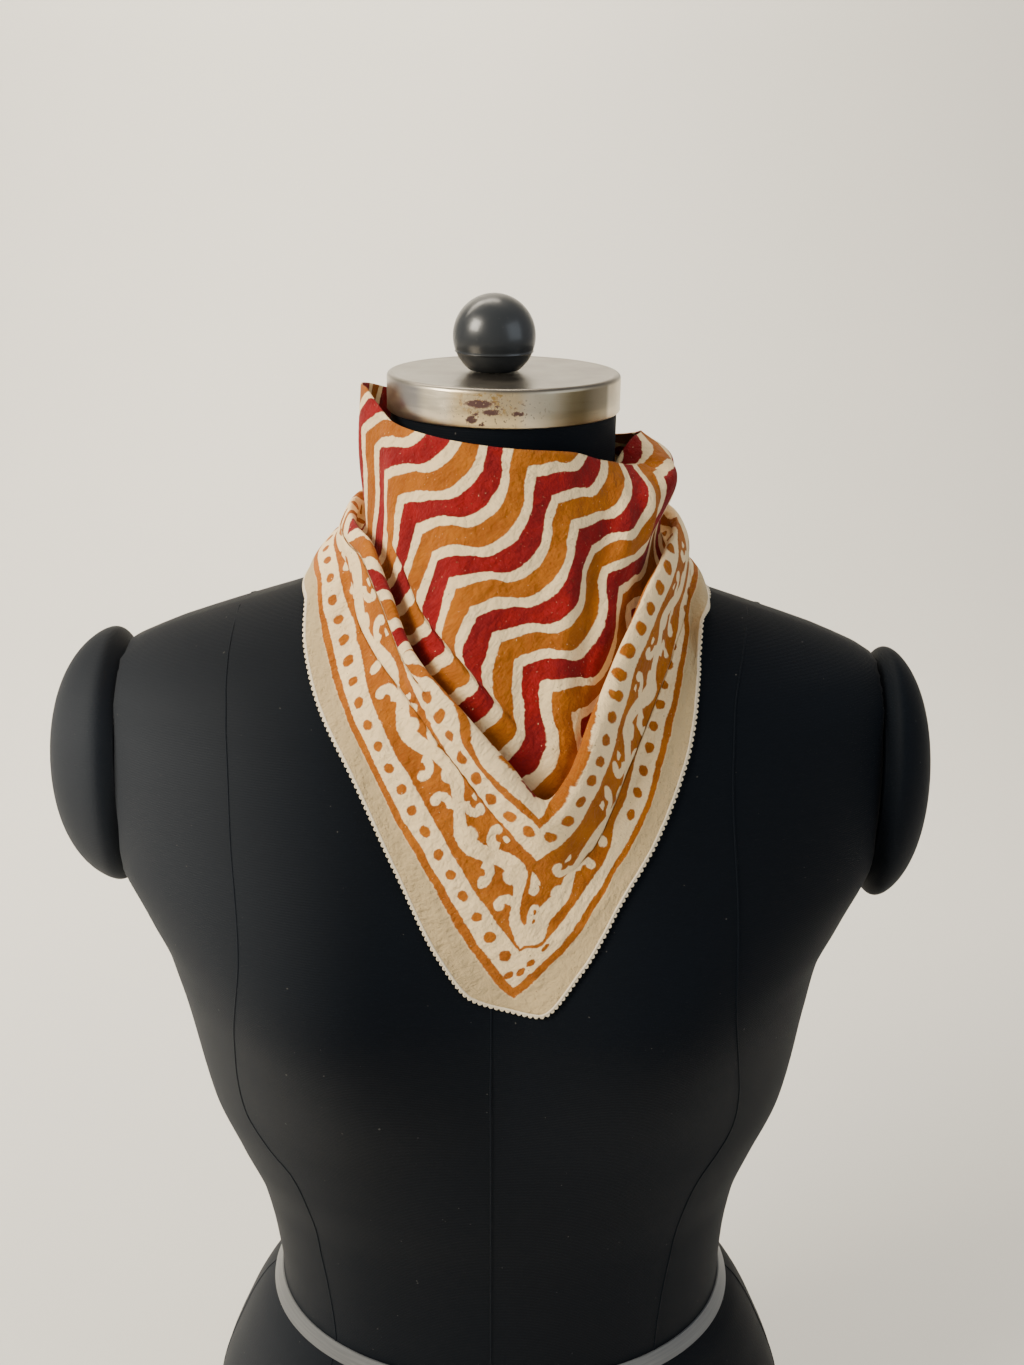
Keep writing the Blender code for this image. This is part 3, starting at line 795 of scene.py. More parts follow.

# %% [markdown]
# ## Worn steel
# The cap's plating is brushed. Its wall is brighter than its top and it has rust where it was
# knocked.
# On the wall, painted reflection and shade vary with the side: a gold highlight in front, dull grey
# at the far left and painted shade on the right. Patches of rust are ellipses with ragged,
# eaten edges: a plain noise would put rust all over, and this cap has it in one place.

# %% Worn steel
# places on the cap, in mm: side, then drop below the cap's top, then half width and half height
RUST = (
    (-10.4, -6.4, 6.0, 1.8),
    (-4.6, -9.8, 3.8, 1.3),
    (6.6, -10.4, 2.8, 1.1),
    (-2.2, -7.4, 1.0, 0.7),
    (-13.4, -13.2, 2.2, 1.7),
    (-8.6, -15.0, 1.3, 0.7),
    (-12.0, -11.0, 1.1, 0.6),
)
PITTED = (-3.0, -8.8, 19.0, 6.5, 0.45)
STAINED = (-6.0, -5.6, 12.0, 5.0, 0.45)
WALL_STARTS = (0.6, 2.4)
# painted reflection and shade on the wall: a gold highlight near the front, dull grey at the far
# left, painted shade on the right
REFLECTION_MIDDLE = -7.0
REFLECTION_ENDS = (12.0, 19.0)
DULL_REFLECTION_LEFT = (33.0, 39.0)
SHADE_GROWS = (4.0, 32.0)
SHADE_THINS = (34.0, 46.0)
SHADE_ENDS = (45.5, 47.5)
BRUSH_STRETCH = (60.0, 60.0, 4200.0)
# noises: scale, detail and roughness, and the range that each is cut to
SWIRL_NOISE = (34.0, 4.0, 0.6)
SWIRL_RANGE = (0.3, 0.7)
GRIME_NOISE = (150.0, 5.0, 0.7)
GRIME_RANGE = (0.52, 0.72)
STAIN_NOISE = (380.0, 4.0, 0.7)
STAIN_RANGE = (0.50, 0.60)
RAGGED_NOISE = (700.0, 4.0, 0.7)
RAGGED_BY = (6.5, 2.5)
EATEN_NOISE = (950.0, 3.0, 0.7)
EATEN_RANGE = (0.33, 0.38)
PIT_NOISE = (720.0, 2.0)
NEAR_PITS = (0.60, 0.64)
FAR_PITS = (0.76, 0.79)
RUST_SOFT = 0.2
# how much of each mark shows, from 0 to 1
NEAR_PITS_SHARE = 0.8
FAR_PITS_SHARE = 0.7
REFLECTION_SHARE = 0.7
DULL_REFLECTION_SHARE = 0.8
SHADE_LOST = 0.35
GRIME_SHARE = 0.35
STAIN_SHARE = 0.8
RUST_SHARE = 0.9
STEEL_ROUGH = 0.24
BRUSH_ROUGH = 0.16
RUST_ROUGH = 0.4
BRUSH_RELIEF = 0.6
GRIME_RELIEF = 0.4
STEEL_BUMP = (0.0003, 0.35)
TOP_DARK = ink(112, 106, 98)
TOP_LIGHT = ink(130, 124, 115)
TOP_GRIME = ink(150, 142, 128)
WALL_DARK = ink(238, 220, 190)
WALL_LIGHT = ink(250, 236, 208)
# painted reflection colours and the painted shade of the wall
PAINTED_GOLD_REFLECTION = ink(236, 206, 150)
PAINTED_DULL_REFLECTION = ink(176, 172, 172)
PAINTED_WALL_SHADE = ink(106, 92, 66)
RUST_STAIN = ink(196, 146, 62)
RUST_BROWN = ink(78, 50, 44)


def steel_rust(steel, place, x, z, front):
    """How much rust lies at each place: ragged patches, and pits that are thickest round them."""
    ragged = steel.noise(place, *RAGGED_NOISE) - 0.5
    ragged_x = x + ragged * RAGGED_BY[0]
    ragged_z = z + ragged * RAGGED_BY[1]
    patches = x * 0.0
    for patch in RUST:
        patches = patches.most(disc(ragged_x, ragged_z, *patch, RUST_SOFT) * front)
    eaten = steel.noise(place, *EATEN_NOISE).fade(*EATEN_RANGE)
    pits = steel.noise(place, *PIT_NOISE)
    near_pits = pits.fade(*NEAR_PITS) * disc(x, z, *PITTED) * front * NEAR_PITS_SHARE
    return (patches * eaten).most(near_pits).most(pits.fade(*FAR_PITS) * FAR_PITS_SHARE)


def steel_wall(steel, colour, x, swirl, on_wall):
    """The wall's colours over the top's, with painted reflection and shade: a gold highlight in
    front, dull grey at left, painted shade at right.
    """
    bright = steel.mixed(swirl, WALL_DARK, WALL_LIGHT)
    # painted reflection: a gold highlight near the front
    painted_reflection = 1.0 - (x - REFLECTION_MIDDLE).absolute().fade(*REFLECTION_ENDS)
    colour = steel.mixed(on_wall, colour, steel.mixed(painted_reflection * REFLECTION_SHARE, bright, PAINTED_GOLD_REFLECTION))
    # painted reflection: dull grey at the far left
    colour = steel.mixed((-x).fade(*DULL_REFLECTION_LEFT) * on_wall * DULL_REFLECTION_SHARE, colour, PAINTED_DULL_REFLECTION)
    # painted shade on the right side of the wall
    shade_thins = 1.0 - x.fade(*SHADE_THINS) * SHADE_LOST
    painted_shade = x.fade(*SHADE_GROWS) * (1.0 - x.fade(*SHADE_ENDS)) * shade_thins
    return steel.mixed(painted_shade * on_wall, colour, PAINTED_WALL_SHADE)


def worn_steel(name):
    """Brushed plating with grime, stains and rust."""
    steel = Finish(name, roughness=0.3, metallic=1.0)
    place = steel.coordinates()
    x = steel.part(place, 0) * PER_METRE
    z = (steel.part(place, 2) - CAP_TOP) * PER_METRE
    front = steel.part(place, 1) < 0.0
    on_wall = (-z).fade(*WALL_STARTS)
    brush = steel.noise(steel.scaled(place, BRUSH_STRETCH))
    swirl = steel.noise(place, *SWIRL_NOISE).fade(*SWIRL_RANGE)
    grime = steel.noise(place, *GRIME_NOISE)
    rust = steel_rust(steel, place, x, z, front)
    stain = steel.noise(place, *STAIN_NOISE).fade(*STAIN_RANGE) * disc(x, z, *STAINED)
    colour = steel.mixed(swirl, TOP_DARK, TOP_LIGHT)
    colour = steel.mixed(grime.fade(*GRIME_RANGE) * GRIME_SHARE, colour, TOP_GRIME)
    colour = steel_wall(steel, colour, x, swirl, on_wall)
    colour = steel.mixed(stain * on_wall * front * STAIN_SHARE, colour, RUST_STAIN)
    colour = steel.mixed(rust, colour, RUST_BROWN)
    return steel.finish(
        base_color=colour,
        metallic=1.0 - rust * RUST_SHARE,
        roughness=STEEL_ROUGH + brush * BRUSH_ROUGH + rust * RUST_ROUGH,
        normal=steel.bump(brush * BRUSH_RELIEF + grime * GRIME_RELIEF, *STEEL_BUMP),
    )


steel_finish = worn_steel("worn_steel")
print("rust patches", len(RUST))

# %% [markdown]
# ## Neck cap
# The lid's outline goes up the wall, round the rolled edge and in over a top that is dished by a
# hair, as pressed plate is. Its edge is what catches the light, so it gets the most points.

# %% Neck cap
CAP_RADIUS = 0.054
CAP_HEIGHT = 0.017
CAP_EDGE = 0.0022
CAP_EDGE_BENDS = 10
CAP_FOOT = 0.0006
CAP_DISH = 0.0002
CAP_CREASE = 60.0
# distance in from the rolled edge, in mm, and share of the dish's depth
CAP_TOP_ROWS = ((0.6, 0.3), (1.4, 0.9), (2.2, 1.0), (20.0, 1.0), (44.0, 1.0))

wall_top = CAP_HEIGHT - CAP_EDGE
cap_profile = [
    (CAP_RADIUS - CAP_FOOT, 0.0),
    (CAP_RADIUS, CAP_FOOT),
    (CAP_RADIUS, wall_top * 0.5),
    (CAP_RADIUS, wall_top),
]
for turn in np.linspace(0.0, math.pi / 2.0, CAP_EDGE_BENDS)[1:]:
    inwards_by = CAP_EDGE * (1.0 - math.cos(turn))
    cap_profile.append((CAP_RADIUS - inwards_by, wall_top + CAP_EDGE * math.sin(turn)))
for inwards_by, drop in CAP_TOP_ROWS:
    cap_profile.append((CAP_RADIUS - CAP_EDGE - inwards_by * MM, CAP_HEIGHT - drop * CAP_DISH))
cap_profile = [(radius, CAP_TOP - CAP_HEIGHT + height) for radius, height in cap_profile]
cap = turned("neck_cap_plate", cap_profile, 0.0, steel_finish, CAP_CREASE)
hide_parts("neck_cap")
print("cap faces", len(cap.data.polygons))

# %% [markdown]
# ## Cap knob
# The knob is a moulded black ball, cut flat at its foot, with a thin flash line below its middle
# where the mould closed. The flash is a small swelling of the outline, because a line in the
# material would vanish from the ball's outline. Years of hands and dust have taken its shine.

# %% Cap knob
KNOB_RADIUS = 0.019
KNOB_FOOT_RADIUS = 0.0105
KNOB_FOOT_DROP = 0.0155
KNOB_FOOT_ROUND = 0.0006
KNOB_FOOT_HEIGHT = 0.0005
KNOB_LIFT = 0.0003
KNOB_SIDE = -0.0045
KNOB_STEPS = 90
FOOT_TURN = 0.04
POLE_TURN = 0.02
KNOB_CREASE = 40.0
FLASH_TURN = -0.36
FLASH_WIDTH = 0.022
FLASH_RISE = 0.00045
SMEAR_NOISE = (60.0, 3.0, 0.6)
SMEAR_RANGE = (0.4, 0.7)
DUST_NOISE = (900.0, 1.0)
DUST_RARE = (0.74, 0.78)
DENT_SIZE = 160.0
DENT_BUMP = (0.0002, 0.25)
DUST_SHARE = 0.25
KNOB_ROUGH = 0.30
SMEAR_ROUGH = 0.12
DUST_ROUGH = 0.2
KNOB_BLACK = ink(38, 41, 44)
KNOB_DUST = ink(96, 94, 90)

gloss = Finish("moulded_gloss", KNOB_BLACK, coat_weight=0.25, coat_roughness=0.16)
gloss_place = gloss.coordinates()
smear = gloss.noise(gloss_place, *SMEAR_NOISE).fade(*SMEAR_RANGE)
dust = gloss.noise(gloss_place, *DUST_NOISE).fade(*DUST_RARE)
gloss.finish(
    base_color=gloss.mixed(dust * DUST_SHARE, KNOB_BLACK, KNOB_DUST),
    roughness=KNOB_ROUGH + smear * SMEAR_ROUGH + dust * DUST_ROUGH,
    normal=gloss.bump(gloss.noise(gloss_place, DENT_SIZE), *DENT_BUMP),
)
knob_centre = CAP_TOP + KNOB_LIFT + KNOB_FOOT_DROP
knob_foot = knob_centre - KNOB_FOOT_DROP
first_turn = math.asin(-KNOB_FOOT_DROP / KNOB_RADIUS) + FOOT_TURN
last_turn = math.pi / 2.0 - POLE_TURN
knob_profile = [
    (KNOB_FOOT_RADIUS - KNOB_FOOT_ROUND, knob_foot),
    (KNOB_FOOT_RADIUS, knob_foot + KNOB_FOOT_HEIGHT),
]
for turn in np.linspace(first_turn, last_turn, KNOB_STEPS):
    radius = KNOB_RADIUS + FLASH_RISE * math.exp(-(((turn - FLASH_TURN) / FLASH_WIDTH) ** 2))
    knob_profile.append((radius * math.cos(turn), knob_centre + radius * math.sin(turn)))
knob = turned("cap_knob_ball", knob_profile, KNOB_SIDE, gloss.made, KNOB_CREASE)
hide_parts("cap_knob")
print("knob faces", len(knob.data.polygons))

# %% [markdown]
# ## Fold lines of the cloth
# Tied cloth looks free, but its shape hangs on a few fold lines: the top edge, the collar, the
# ridge of the cowl, the valley under it and the hem. Each is a table: the angle round the neck,
# then the distance from the neck's axis and the drop below the cap's top. The ridge's table also
# gives the width and depth of the cowl's pocket behind it. A simulation from the flat square
# would find its own folds, and these have to be the ones in the photograph.

# %% Fold lines
LINE_COLUMNS = ("angle", "radius", "drop")
TOP_EDGE = (
    (-172, 59.5, 34.0),
    (-130, 63.0, 17.0),
    (-95, 66.0, 7.0),
    (-76, 64.5, 5.5),
    (-66, 62.0, 11.0),
    (-55, 60.0, 17.5),
    (-31, 59.0, 20.7),
    (0, 58.0, 24.0),
    (30, 58.0, 27.0),
    (50, 59.5, 33.5),
    (64, 66.0, 37.0),
    (70, 68.5, 37.5),
    (73.5, 53.5, 40.0),
    (79, 57.0, 33.0),
    (85, 61.0, 28.5),
    (94, 65.0, 28.0),
    (106, 66.0, 31.0),
    (130, 61.0, 36.0),
    (172, 59.5, 36.0),
)
COLLAR = (
    (-172, 61.0, 43.0),
    (-130, 65.0, 36.0),
    (-90, 66.8, 34.0),
    (-60, 65.0, 42.0),
    (-30, 67.0, 55.0),
    (0, 71.0, 66.0),
    (30, 72.0, 66.0),
    (52, 76.0, 56.0),
    (68, 80.5, 46.0),
    (80, 80.0, 41.0),
    (94, 81.0, 40.5),
    (120, 76.0, 46.5),
    (150, 67.0, 47.0),
    (172, 61.0, 43.0),
)
RIDGE_COLUMNS = ("angle", "radius", "drop", "mouth", "depth")
RIDGE = (
    (-172, 68.0, 46.0, 5.5, 10.0),
    (-130, 72.0, 60.0, 6.0, 14.0),
    (-90, 71.0, 63.0, 6.0, 13.0),
    (-53, 75.0, 67.0, 7.0, 16.0),
    (-38, 81.0, 83.0, 8.0, 20.0),
    (-25, 90.0, 107.0, 9.0, 24.0),
    (-11, 100.0, 125.0, 10.0, 28.0),
    (2, 106.0, 149.0, 10.0, 30.0),
    (11, 109.0, 167.0, 9.0, 28.0),
    (16, 108.0, 157.0, 9.0, 28.0),
    (23, 104.0, 129.0, 10.0, 26.0),
    (34, 96.0, 102.0, 10.0, 22.0),
    (50, 87.0, 81.0, 9.0, 16.0),
    (74, 82.0, 70.0, 8.0, 13.0),
    (95, 83.0, 68.0, 7.0, 12.0),
    (130, 74.0, 60.0, 6.0, 14.0),
    (172, 68.0, 46.0, 5.5, 10.0),
)
VALLEY = (
    (-172, 71.0, 54.0),
    (-130, 78.0, 76.0),
    (-90, 79.0, 77.0),
    (-62, 80.0, 82.0),
    (-46, 86.0, 107.0),
    (-29, 95.5, 122.0),
    (-12, 103.5, 149.0),
    (-1, 106.8, 174.0),
    (7, 110.5, 194.0),
    (14, 112.0, 204.0),
    (22, 110.0, 195.0),
    (34, 104.0, 161.0),
    (48, 96.5, 133.0),
    (62, 91.0, 117.0),
    (90, 90.5, 90.0),
    (130, 82.0, 76.0),
    (172, 71.0, 54.0),
)
HEM = (
    (-172, 69.5, 62.5),
    (-150, 76.0, 77.0),
    (-125, 88.0, 92.0),
    (-90, 94.0, 97.0),
    (-68, 97.0, 98.0),
    (-58, 104.0, 116.0),
    (-49, 108.0, 136.0),
    (-36, 112.0, 161.0),
    (-23, 114.0, 204.0),
    (-13, 116.0, 242.0),
    (-5, 117.0, 262.0),
    (3, 117.0, 267.0),
    (10, 118.0, 269.0),
    (19, 118.0, 249.0),
    (29, 115.0, 218.0),
    (38, 113.0, 195.0),
    (49, 110.0, 160.0),
    (57, 106.0, 130.0),
    (67, 101.0, 106.0),
    (90, 99.0, 103.0),
    (125, 90.0, 94.0),
    (150, 76.0, 78.0),
    (172, 69.5, 62.5),
)
print("fold lines", sum(map(len, (TOP_EDGE, COLLAR, RIDGE, VALLEY, HEM))), "rows")

# %% [markdown]
# ## From fold lines to a surface
# At each angle the cloth's section is a curve through its fold points: down the neck, into the
# cowl's pocket and out again, over the roll and down the flap to the hem. Where a section would
# dip into the form, the nearest point of the skin pushes it out, as the real neck does.

# %% Cloth surface
CLOTH_REST = 0.0016
LAYER_STEP = 0.0019
NECK_TOP_CLEAR = 0.0195
RIDGE_LIP = 0.0013
LIP_DROP = 0.004
POCKET_BACK = 0.95
POCKET_FLOOR = 0.55
POCKET_FRONT = 0.12
POCKET_WAIST = 0.65
ROLL_OUT = 0.0062
ROLL_DROP = 0.0085
FLAP_BELLY = 0.0022
COVER_REACH = 0.011
SPAN_STEPS = (20, 18, 7, 6, 6, 6, 6, 6, 9, 22, 22)
FRONT_REACH = 100.0
NAPE_REACH = 172.0
FRONT_STEPS = 250
NAPE_STEPS = 34


def section_marks(angles):
    """Where the cloth's section turns at each angle: radius, drop and least stand off the form."""
    top, collar, valley, hem = (
        [table_value(rows, LINE_COLUMNS, name, angles) * MM for name in LINE_COLUMNS[1:]]
        for rows in (TOP_EDGE, COLLAR, VALLEY, HEM)
    )
    radius, drop, mouth, depth = (
        table_value(RIDGE, RIDGE_COLUMNS, name, angles) * MM for name in RIDGE_COLUMNS[1:]
    )
    over_pocket = np.clip((drop + depth + COVER_REACH - valley[1]) / COVER_REACH, 0.0, 1.0)
    layer = np.full(angles.shape, CLOTH_REST)
    marks = (
        (*top, layer),
        (*collar, layer),
        (radius - mouth, drop - RIDGE_LIP, layer),
        (radius - POCKET_BACK * mouth, drop + POCKET_WAIST * depth, layer),
        (radius - POCKET_FLOOR * mouth, drop + depth, layer + LAYER_STEP),
        (radius - POCKET_FRONT * mouth, drop + POCKET_WAIST * depth, layer + 2.0 * LAYER_STEP),
        (radius - RIDGE_LIP, drop + LIP_DROP, layer + 2.0 * LAYER_STEP),
        (radius + RIDGE_LIP, drop, layer + 3.0 * LAYER_STEP),
        (radius + ROLL_OUT, drop + ROLL_DROP, layer + 4.0 * LAYER_STEP),
        (*valley, layer + 4.0 * LAYER_STEP * over_pocket),
        ((valley[0] + hem[0]) / 2.0 + FLAP_BELLY, (valley[1] + hem[1]) / 2.0, layer),
        (*hem, layer),
    )
    return np.stack([np.stack(mark, axis=-1) for mark in marks], axis=1)


def curve_through(marks, steps):
    """Centripetal curves through each column's marks, with its own number of steps on each span."""
    first = 2.0 * marks[:, :1] - marks[:, 1:2]
    last = 2.0 * marks[:, -1:] - marks[:, -2:-1]
    marks = np.concatenate([first, marks, last], axis=1)
    rows = []
    places = []
    for i, count in enumerate(steps):
        a, b, c, d = (marks[:, i + k] for k in range(4))
        ta = np.zeros((len(marks), 1))
        tb = ta + np.linalg.norm(b - a, axis=1, keepdims=True) ** 0.5
        tc = tb + np.linalg.norm(c - b, axis=1, keepdims=True) ** 0.5
        td = tc + np.linalg.norm(d - c, axis=1, keepdims=True) ** 0.5
        for k in range(count):
            t = tb + (tc - tb) * k / count
            ab = ((tb - t) * a + (t - ta) * b) / (tb - ta)
            bc = ((tc - t) * b + (t - tb) * c) / (tc - tb)
            cd = ((td - t) * c + (t - tc) * d) / (td - tc)
            abc = ((tc - t) * ab + (t - ta) * bc) / (tc - ta)
            bcd = ((td - t) * bc + (t - tb) * cd) / (td - tb)
            rows.append(((tc - t) * abc + (t - tb) * bcd) / (tc - tb))
            places.append(i + k / count)
    rows.append(marks[:, -2])
    places.append(float(len(steps)))
    return np.stack(rows, axis=1), np.array(places)


nape_left = np.linspace(-NAPE_REACH, -FRONT_REACH, NAPE_STEPS, endpoint=False)
front_angles = np.linspace(-FRONT_REACH, FRONT_REACH, FRONT_STEPS)
cloth_angles = np.concatenate([nape_left, front_angles, -nape_left[::-1]])
sections, row_marks = curve_through(section_marks(cloth_angles), SPAN_STEPS)
turns = np.radians(cloth_angles)[:, None]
reach, drop, cloth_rest = (sections[..., k] for k in range(3))
cloth_grid = np.stack([reach * np.sin(turns), -reach * np.cos(turns), CAP_TOP - drop], axis=-1)
print("cloth grid", cloth_grid.shape)

# %% [markdown]
# ## Creases
# Thin cotton never lies flat: soft folds fan out from where it is pulled and short crumples lie
# between them. Each row of the table is one fold that runs between two places on the cloth, with
# its width and height; a height below zero is a trough. They are uneven, as real ones are.
# Places are an angle and a mark: 0 top edge, 1 collar, 2 mouth, 7 ridge, 9 valley, 11 hem.

# %% Creases
# angle and mark of the start, angle and mark of the end, then width and height in mm
CREASES = (
    (52, 0.15, 44, 1.6, 6.0, 2.4),
    (45, 0.5, 36, 1.9, 5.0, -1.6),
    (60, 0.5, 56, 1.8, 5.0, 2.2),
    (66, 0.4, 62, 1.7, 4.0, -1.8),
    (80, 0.3, 70, 1.7, 6.0, 1.8),
    (93, 0.4, 84, 1.8, 6.0, -1.6),
    (-52, 0.3, -40, 1.7, 6.0, 1.5),
    (-64, 0.3, -55, 1.7, 5.0, -1.4),
    (-80, 0.4, -70, 1.8, 7.0, 1.7),
    (-22, 0.9, -4, 1.9, 7.0, 1.4),
    (-34, 1.0, -16, 1.9, 5.0, -1.2),
    (24, 1.1, 14, 1.9, 6.0, 1.6),
    (40, 0.9, 21, 1.95, 6.0, -3.2),
    (46, 1.1, 30, 1.95, 5.0, 2.4),
    (28, 0.7, 16, 1.7, 8.0, 1.8),
    (4, 1.2, 10, 1.95, 6.0, -1.2),
    (-26, 8.75, 7, 8.45, 2.2, -1.5),
    (-22, 9.15, 9, 8.8, 2.4, 1.4),
    (34, 8.5, 16, 8.7, 2.6, -1.3),
    (-60, 8.2, -44, 9.4, 4.0, 1.2),
    (-40, 8.1, -20, 8.9, 5.0, -1.3),
    (-52, 9.6, -30, 9.9, 3.5, 1.0),
    (-30, 9.3, -12, 9.8, 3.5, -0.9),
    (-16, 9.2, 0, 9.7, 4.0, 1.1),
    (-8, 9.8, 8, 10.2, 3.0, -0.8),
    (-46, 10.2, -26, 10.5, 3.0, -0.7),
    (-20, 10.4, -6, 10.8, 3.0, 0.8),
    (26, 8.2, 40, 8.9, 5.0, -1.3),
    (44, 8.2, 58, 9.2, 4.0, 1.2),
    (20, 9.3, 36, 9.8, 3.5, 1.0),
    (34, 9.6, 50, 9.9, 3.5, -1.0),
    (12, 9.9, 26, 10.4, 3.0, 0.8),
    (30, 10.2, 46, 10.6, 3.0, -0.8),
    (6, 10.5, 16, 10.9, 3.0, -0.7),
    (-110, 0.3, -104, 1.8, 7.0, 1.8),
    (-132, 0.3, -124, 1.8, 6.0, -1.6),
    (-150, 0.4, -146, 1.8, 6.0, 1.6),
    (112, 0.3, 104, 1.8, 7.0, -1.8),
    (130, 0.3, 124, 1.8, 6.0, 1.8),
    (152, 0.4, 146, 1.8, 6.0, -1.5),
    (-118, 9.2, -96, 9.6, 5.0, 1.4),
    (-140, 9.5, -118, 10.1, 5.0, -1.3),
    (-120, 10.2, -92, 10.5, 4.0, 1.2),
    (116, 9.2, 96, 9.6, 5.0, -1.4),
    (140, 9.5, 118, 10.1, 5.0, 1.3),
    (124, 10.2, 94, 10.5, 4.0, -1.2),
)
CREASE_POINTS = 15
CREASE_TAPER = 0.7
CREASE_END = 0.08
ROW_SPAN = 2.2
NECK_WALL_ENDS = 2.6
COWL_WALL_STARTS = 7.4


def grid_normals(grid):
    """Unit normals of a grid of points."""
    normals = np.cross(np.gradient(grid, axis=0), np.gradient(grid, axis=1))
    return normals / np.linalg.norm(normals, axis=2, keepdims=True)


def place_on(grid, angle, mark):
    """The point of the grid at an angle and a mark."""
    column = np.interp(angle, cloth_angles, np.arange(len(cloth_angles)))
    row = np.interp(mark, row_marks, np.arange(len(row_marks)))
    i = min(int(column), grid.shape[0] - 2)
    j = min(int(row), grid.shape[1] - 2)
    u = column - i
    v = row - j
    low = grid[i, j] * (1 - u) + grid[i + 1, j] * u
    high = grid[i, j + 1] * (1 - u) + grid[i + 1, j + 1] * u
    return low * (1 - v) + high * v


def crease_heights(grid):
    """How far each point of the cloth stands out because of the creases."""
    heights = np.zeros(grid.shape[:2])
    for angle, mark, to_angle, to_mark, width, height in CREASES:
        line = [
            place_on(grid, angle + (to_angle - angle) * k, mark + (to_mark - mark) * k)
            for k in np.linspace(0.0, 1.0, CREASE_POINTS)
        ]
        middle = (mark + to_mark) / 2.0
        near_rows = np.abs(row_marks - middle) < abs(to_mark - mark) / 2.0 + ROW_SPAN
        on_neck = middle < NECK_WALL_ENDS
        near_rows &= (row_marks < NECK_WALL_ENDS) if on_neck else (row_marks > COWL_WALL_STARTS)
        patch = grid[:, near_rows]
        gaps = np.stack([np.linalg.norm(patch - point, axis=2) for point in line], axis=-1)
        best = gaps.argmin(axis=-1)
        share = CREASE_END + (1.0 - 2.0 * CREASE_END) * best / (CREASE_POINTS - 1.0)
        taper = np.sin(math.pi * share) ** CREASE_TAPER
        across = gaps.min(axis=-1) / (width * MM)
        heights[:, near_rows] += height * MM * taper * np.exp(-across ** 2)
    return heights


def rest_on_form(grid, least):
    """Moves every point that is too near the form out to its least stand-off."""
    out = grid.copy()
    for i in range(grid.shape[0]):
        for j in range(grid.shape[1]):
            point = Vector(grid[i, j])
            if CAP_TOP - point.z < NECK_TOP_CLEAR:
                continue
            near, normal, _, _ = torso_tree.find_nearest(point)
            gap = (point - near).dot(normal)
            if gap < least[i, j]:
                out[i, j] = near + normal * least[i, j]
    return out


cloth_grid = rest_on_form(cloth_grid, cloth_rest)
cloth_grid -= grid_normals(cloth_grid) * crease_heights(cloth_grid)[..., None]
cloth_grid = rest_on_form(cloth_grid, cloth_rest)
print("creases", len(CREASES))

# %% [markdown]
# ## Three sharp tucks
# The cloth is folded under itself along three lines: low on the neck panel, under the cowl's roll
# and in the valley. The print goes into them and comes out again further on. Each is one split
# row of the grid, pressed in a little. A second grid is kept for the flat cut. There the same row
# goes in by half the hidden width, so the print knows about the cloth that nobody sees.

# %% Tucks
TUCK_EDGE = 0.35
TUCK_FULL = 8.0
TUCK_COLUMNS = ("angle", "hidden")
RIDGE_TUCK = (
    (-115, 0.0),
    (-88, 14.0),
    (-62, 30.0),
    (-34, 30.0),
    (-26, 18.0),
    (-17, 0.0),
    (115, 0.0),
)
VALLEY_TUCK = (
    (-110, 1.0),
    (-62, 6.0),
    (-45, 8.0),
    (-14, 8.0),
    (-2, 2.0),
    (10, 0.0),
    (20, 4.0),
    (28, 7.0),
    (52, 6.0),
    (110, 1.0),
)
PANEL_TUCK = (
    (-110, 0.0),
    (-52, 0.0),
    (-38, 10.0),
    (-24, 17.0),
    (-12, 17.0),
    (0, 11.0),
    (9, 0.0),
    (110, 0.0),
)
# mark, depth pressed in, and table of the hidden width in mm
TUCKS = ((1.80, 0.0013, PANEL_TUCK), (7.85, 0.0011, RIDGE_TUCK), (9.0, 0.0009, VALLEY_TUCK))


def split_row(grid, marks, mark):
    """Adds a row close on each side of the row nearest a mark, and returns that row's index."""
    row = int(np.argmin(np.abs(marks - mark)))
    beside = [row - TUCK_EDGE, row + TUCK_EDGE]
    places = np.insert(np.arange(len(marks), dtype=float), [row, row + 1], beside)
    low = np.minimum(places.astype(int), len(marks) - 2)
    share = places - low
    grid = grid[:, low] * (1.0 - share)[None, :, None] + grid[:, low + 1] * share[None, :, None]
    return grid, marks[low] * (1.0 - share) + marks[low + 1] * share, row + 1


tucked_rows = []
for mark, _, _ in TUCKS:
    cloth_grid, row_marks, row = split_row(cloth_grid, row_marks, mark)
    tucked_rows.append(row)
inwards = grid_normals(cloth_grid)
tucked_grid = cloth_grid.copy()
for (_, depth, rows), row in zip(TUCKS, tucked_rows):
    hidden = table_value(rows, TUCK_COLUMNS, "hidden", cloth_angles)[:, None]
    tucked_grid[:, row] += inwards[:, row] * hidden * MM / 2.0
    cloth_grid[:, row] += inwards[:, row] * depth * np.minimum(hidden / TUCK_FULL, 1.0)
print("tucked rows", tucked_rows)

# %% [markdown]
# ## Where the print lies on the folds
# The print was made on flat cloth, so the pattern has to know each point's place on the square
# before it was folded. The photograph shows where some printed lines cross the folds. Each row
# here is one such place: the angle and mark on the cloth, then its distances from both hems.

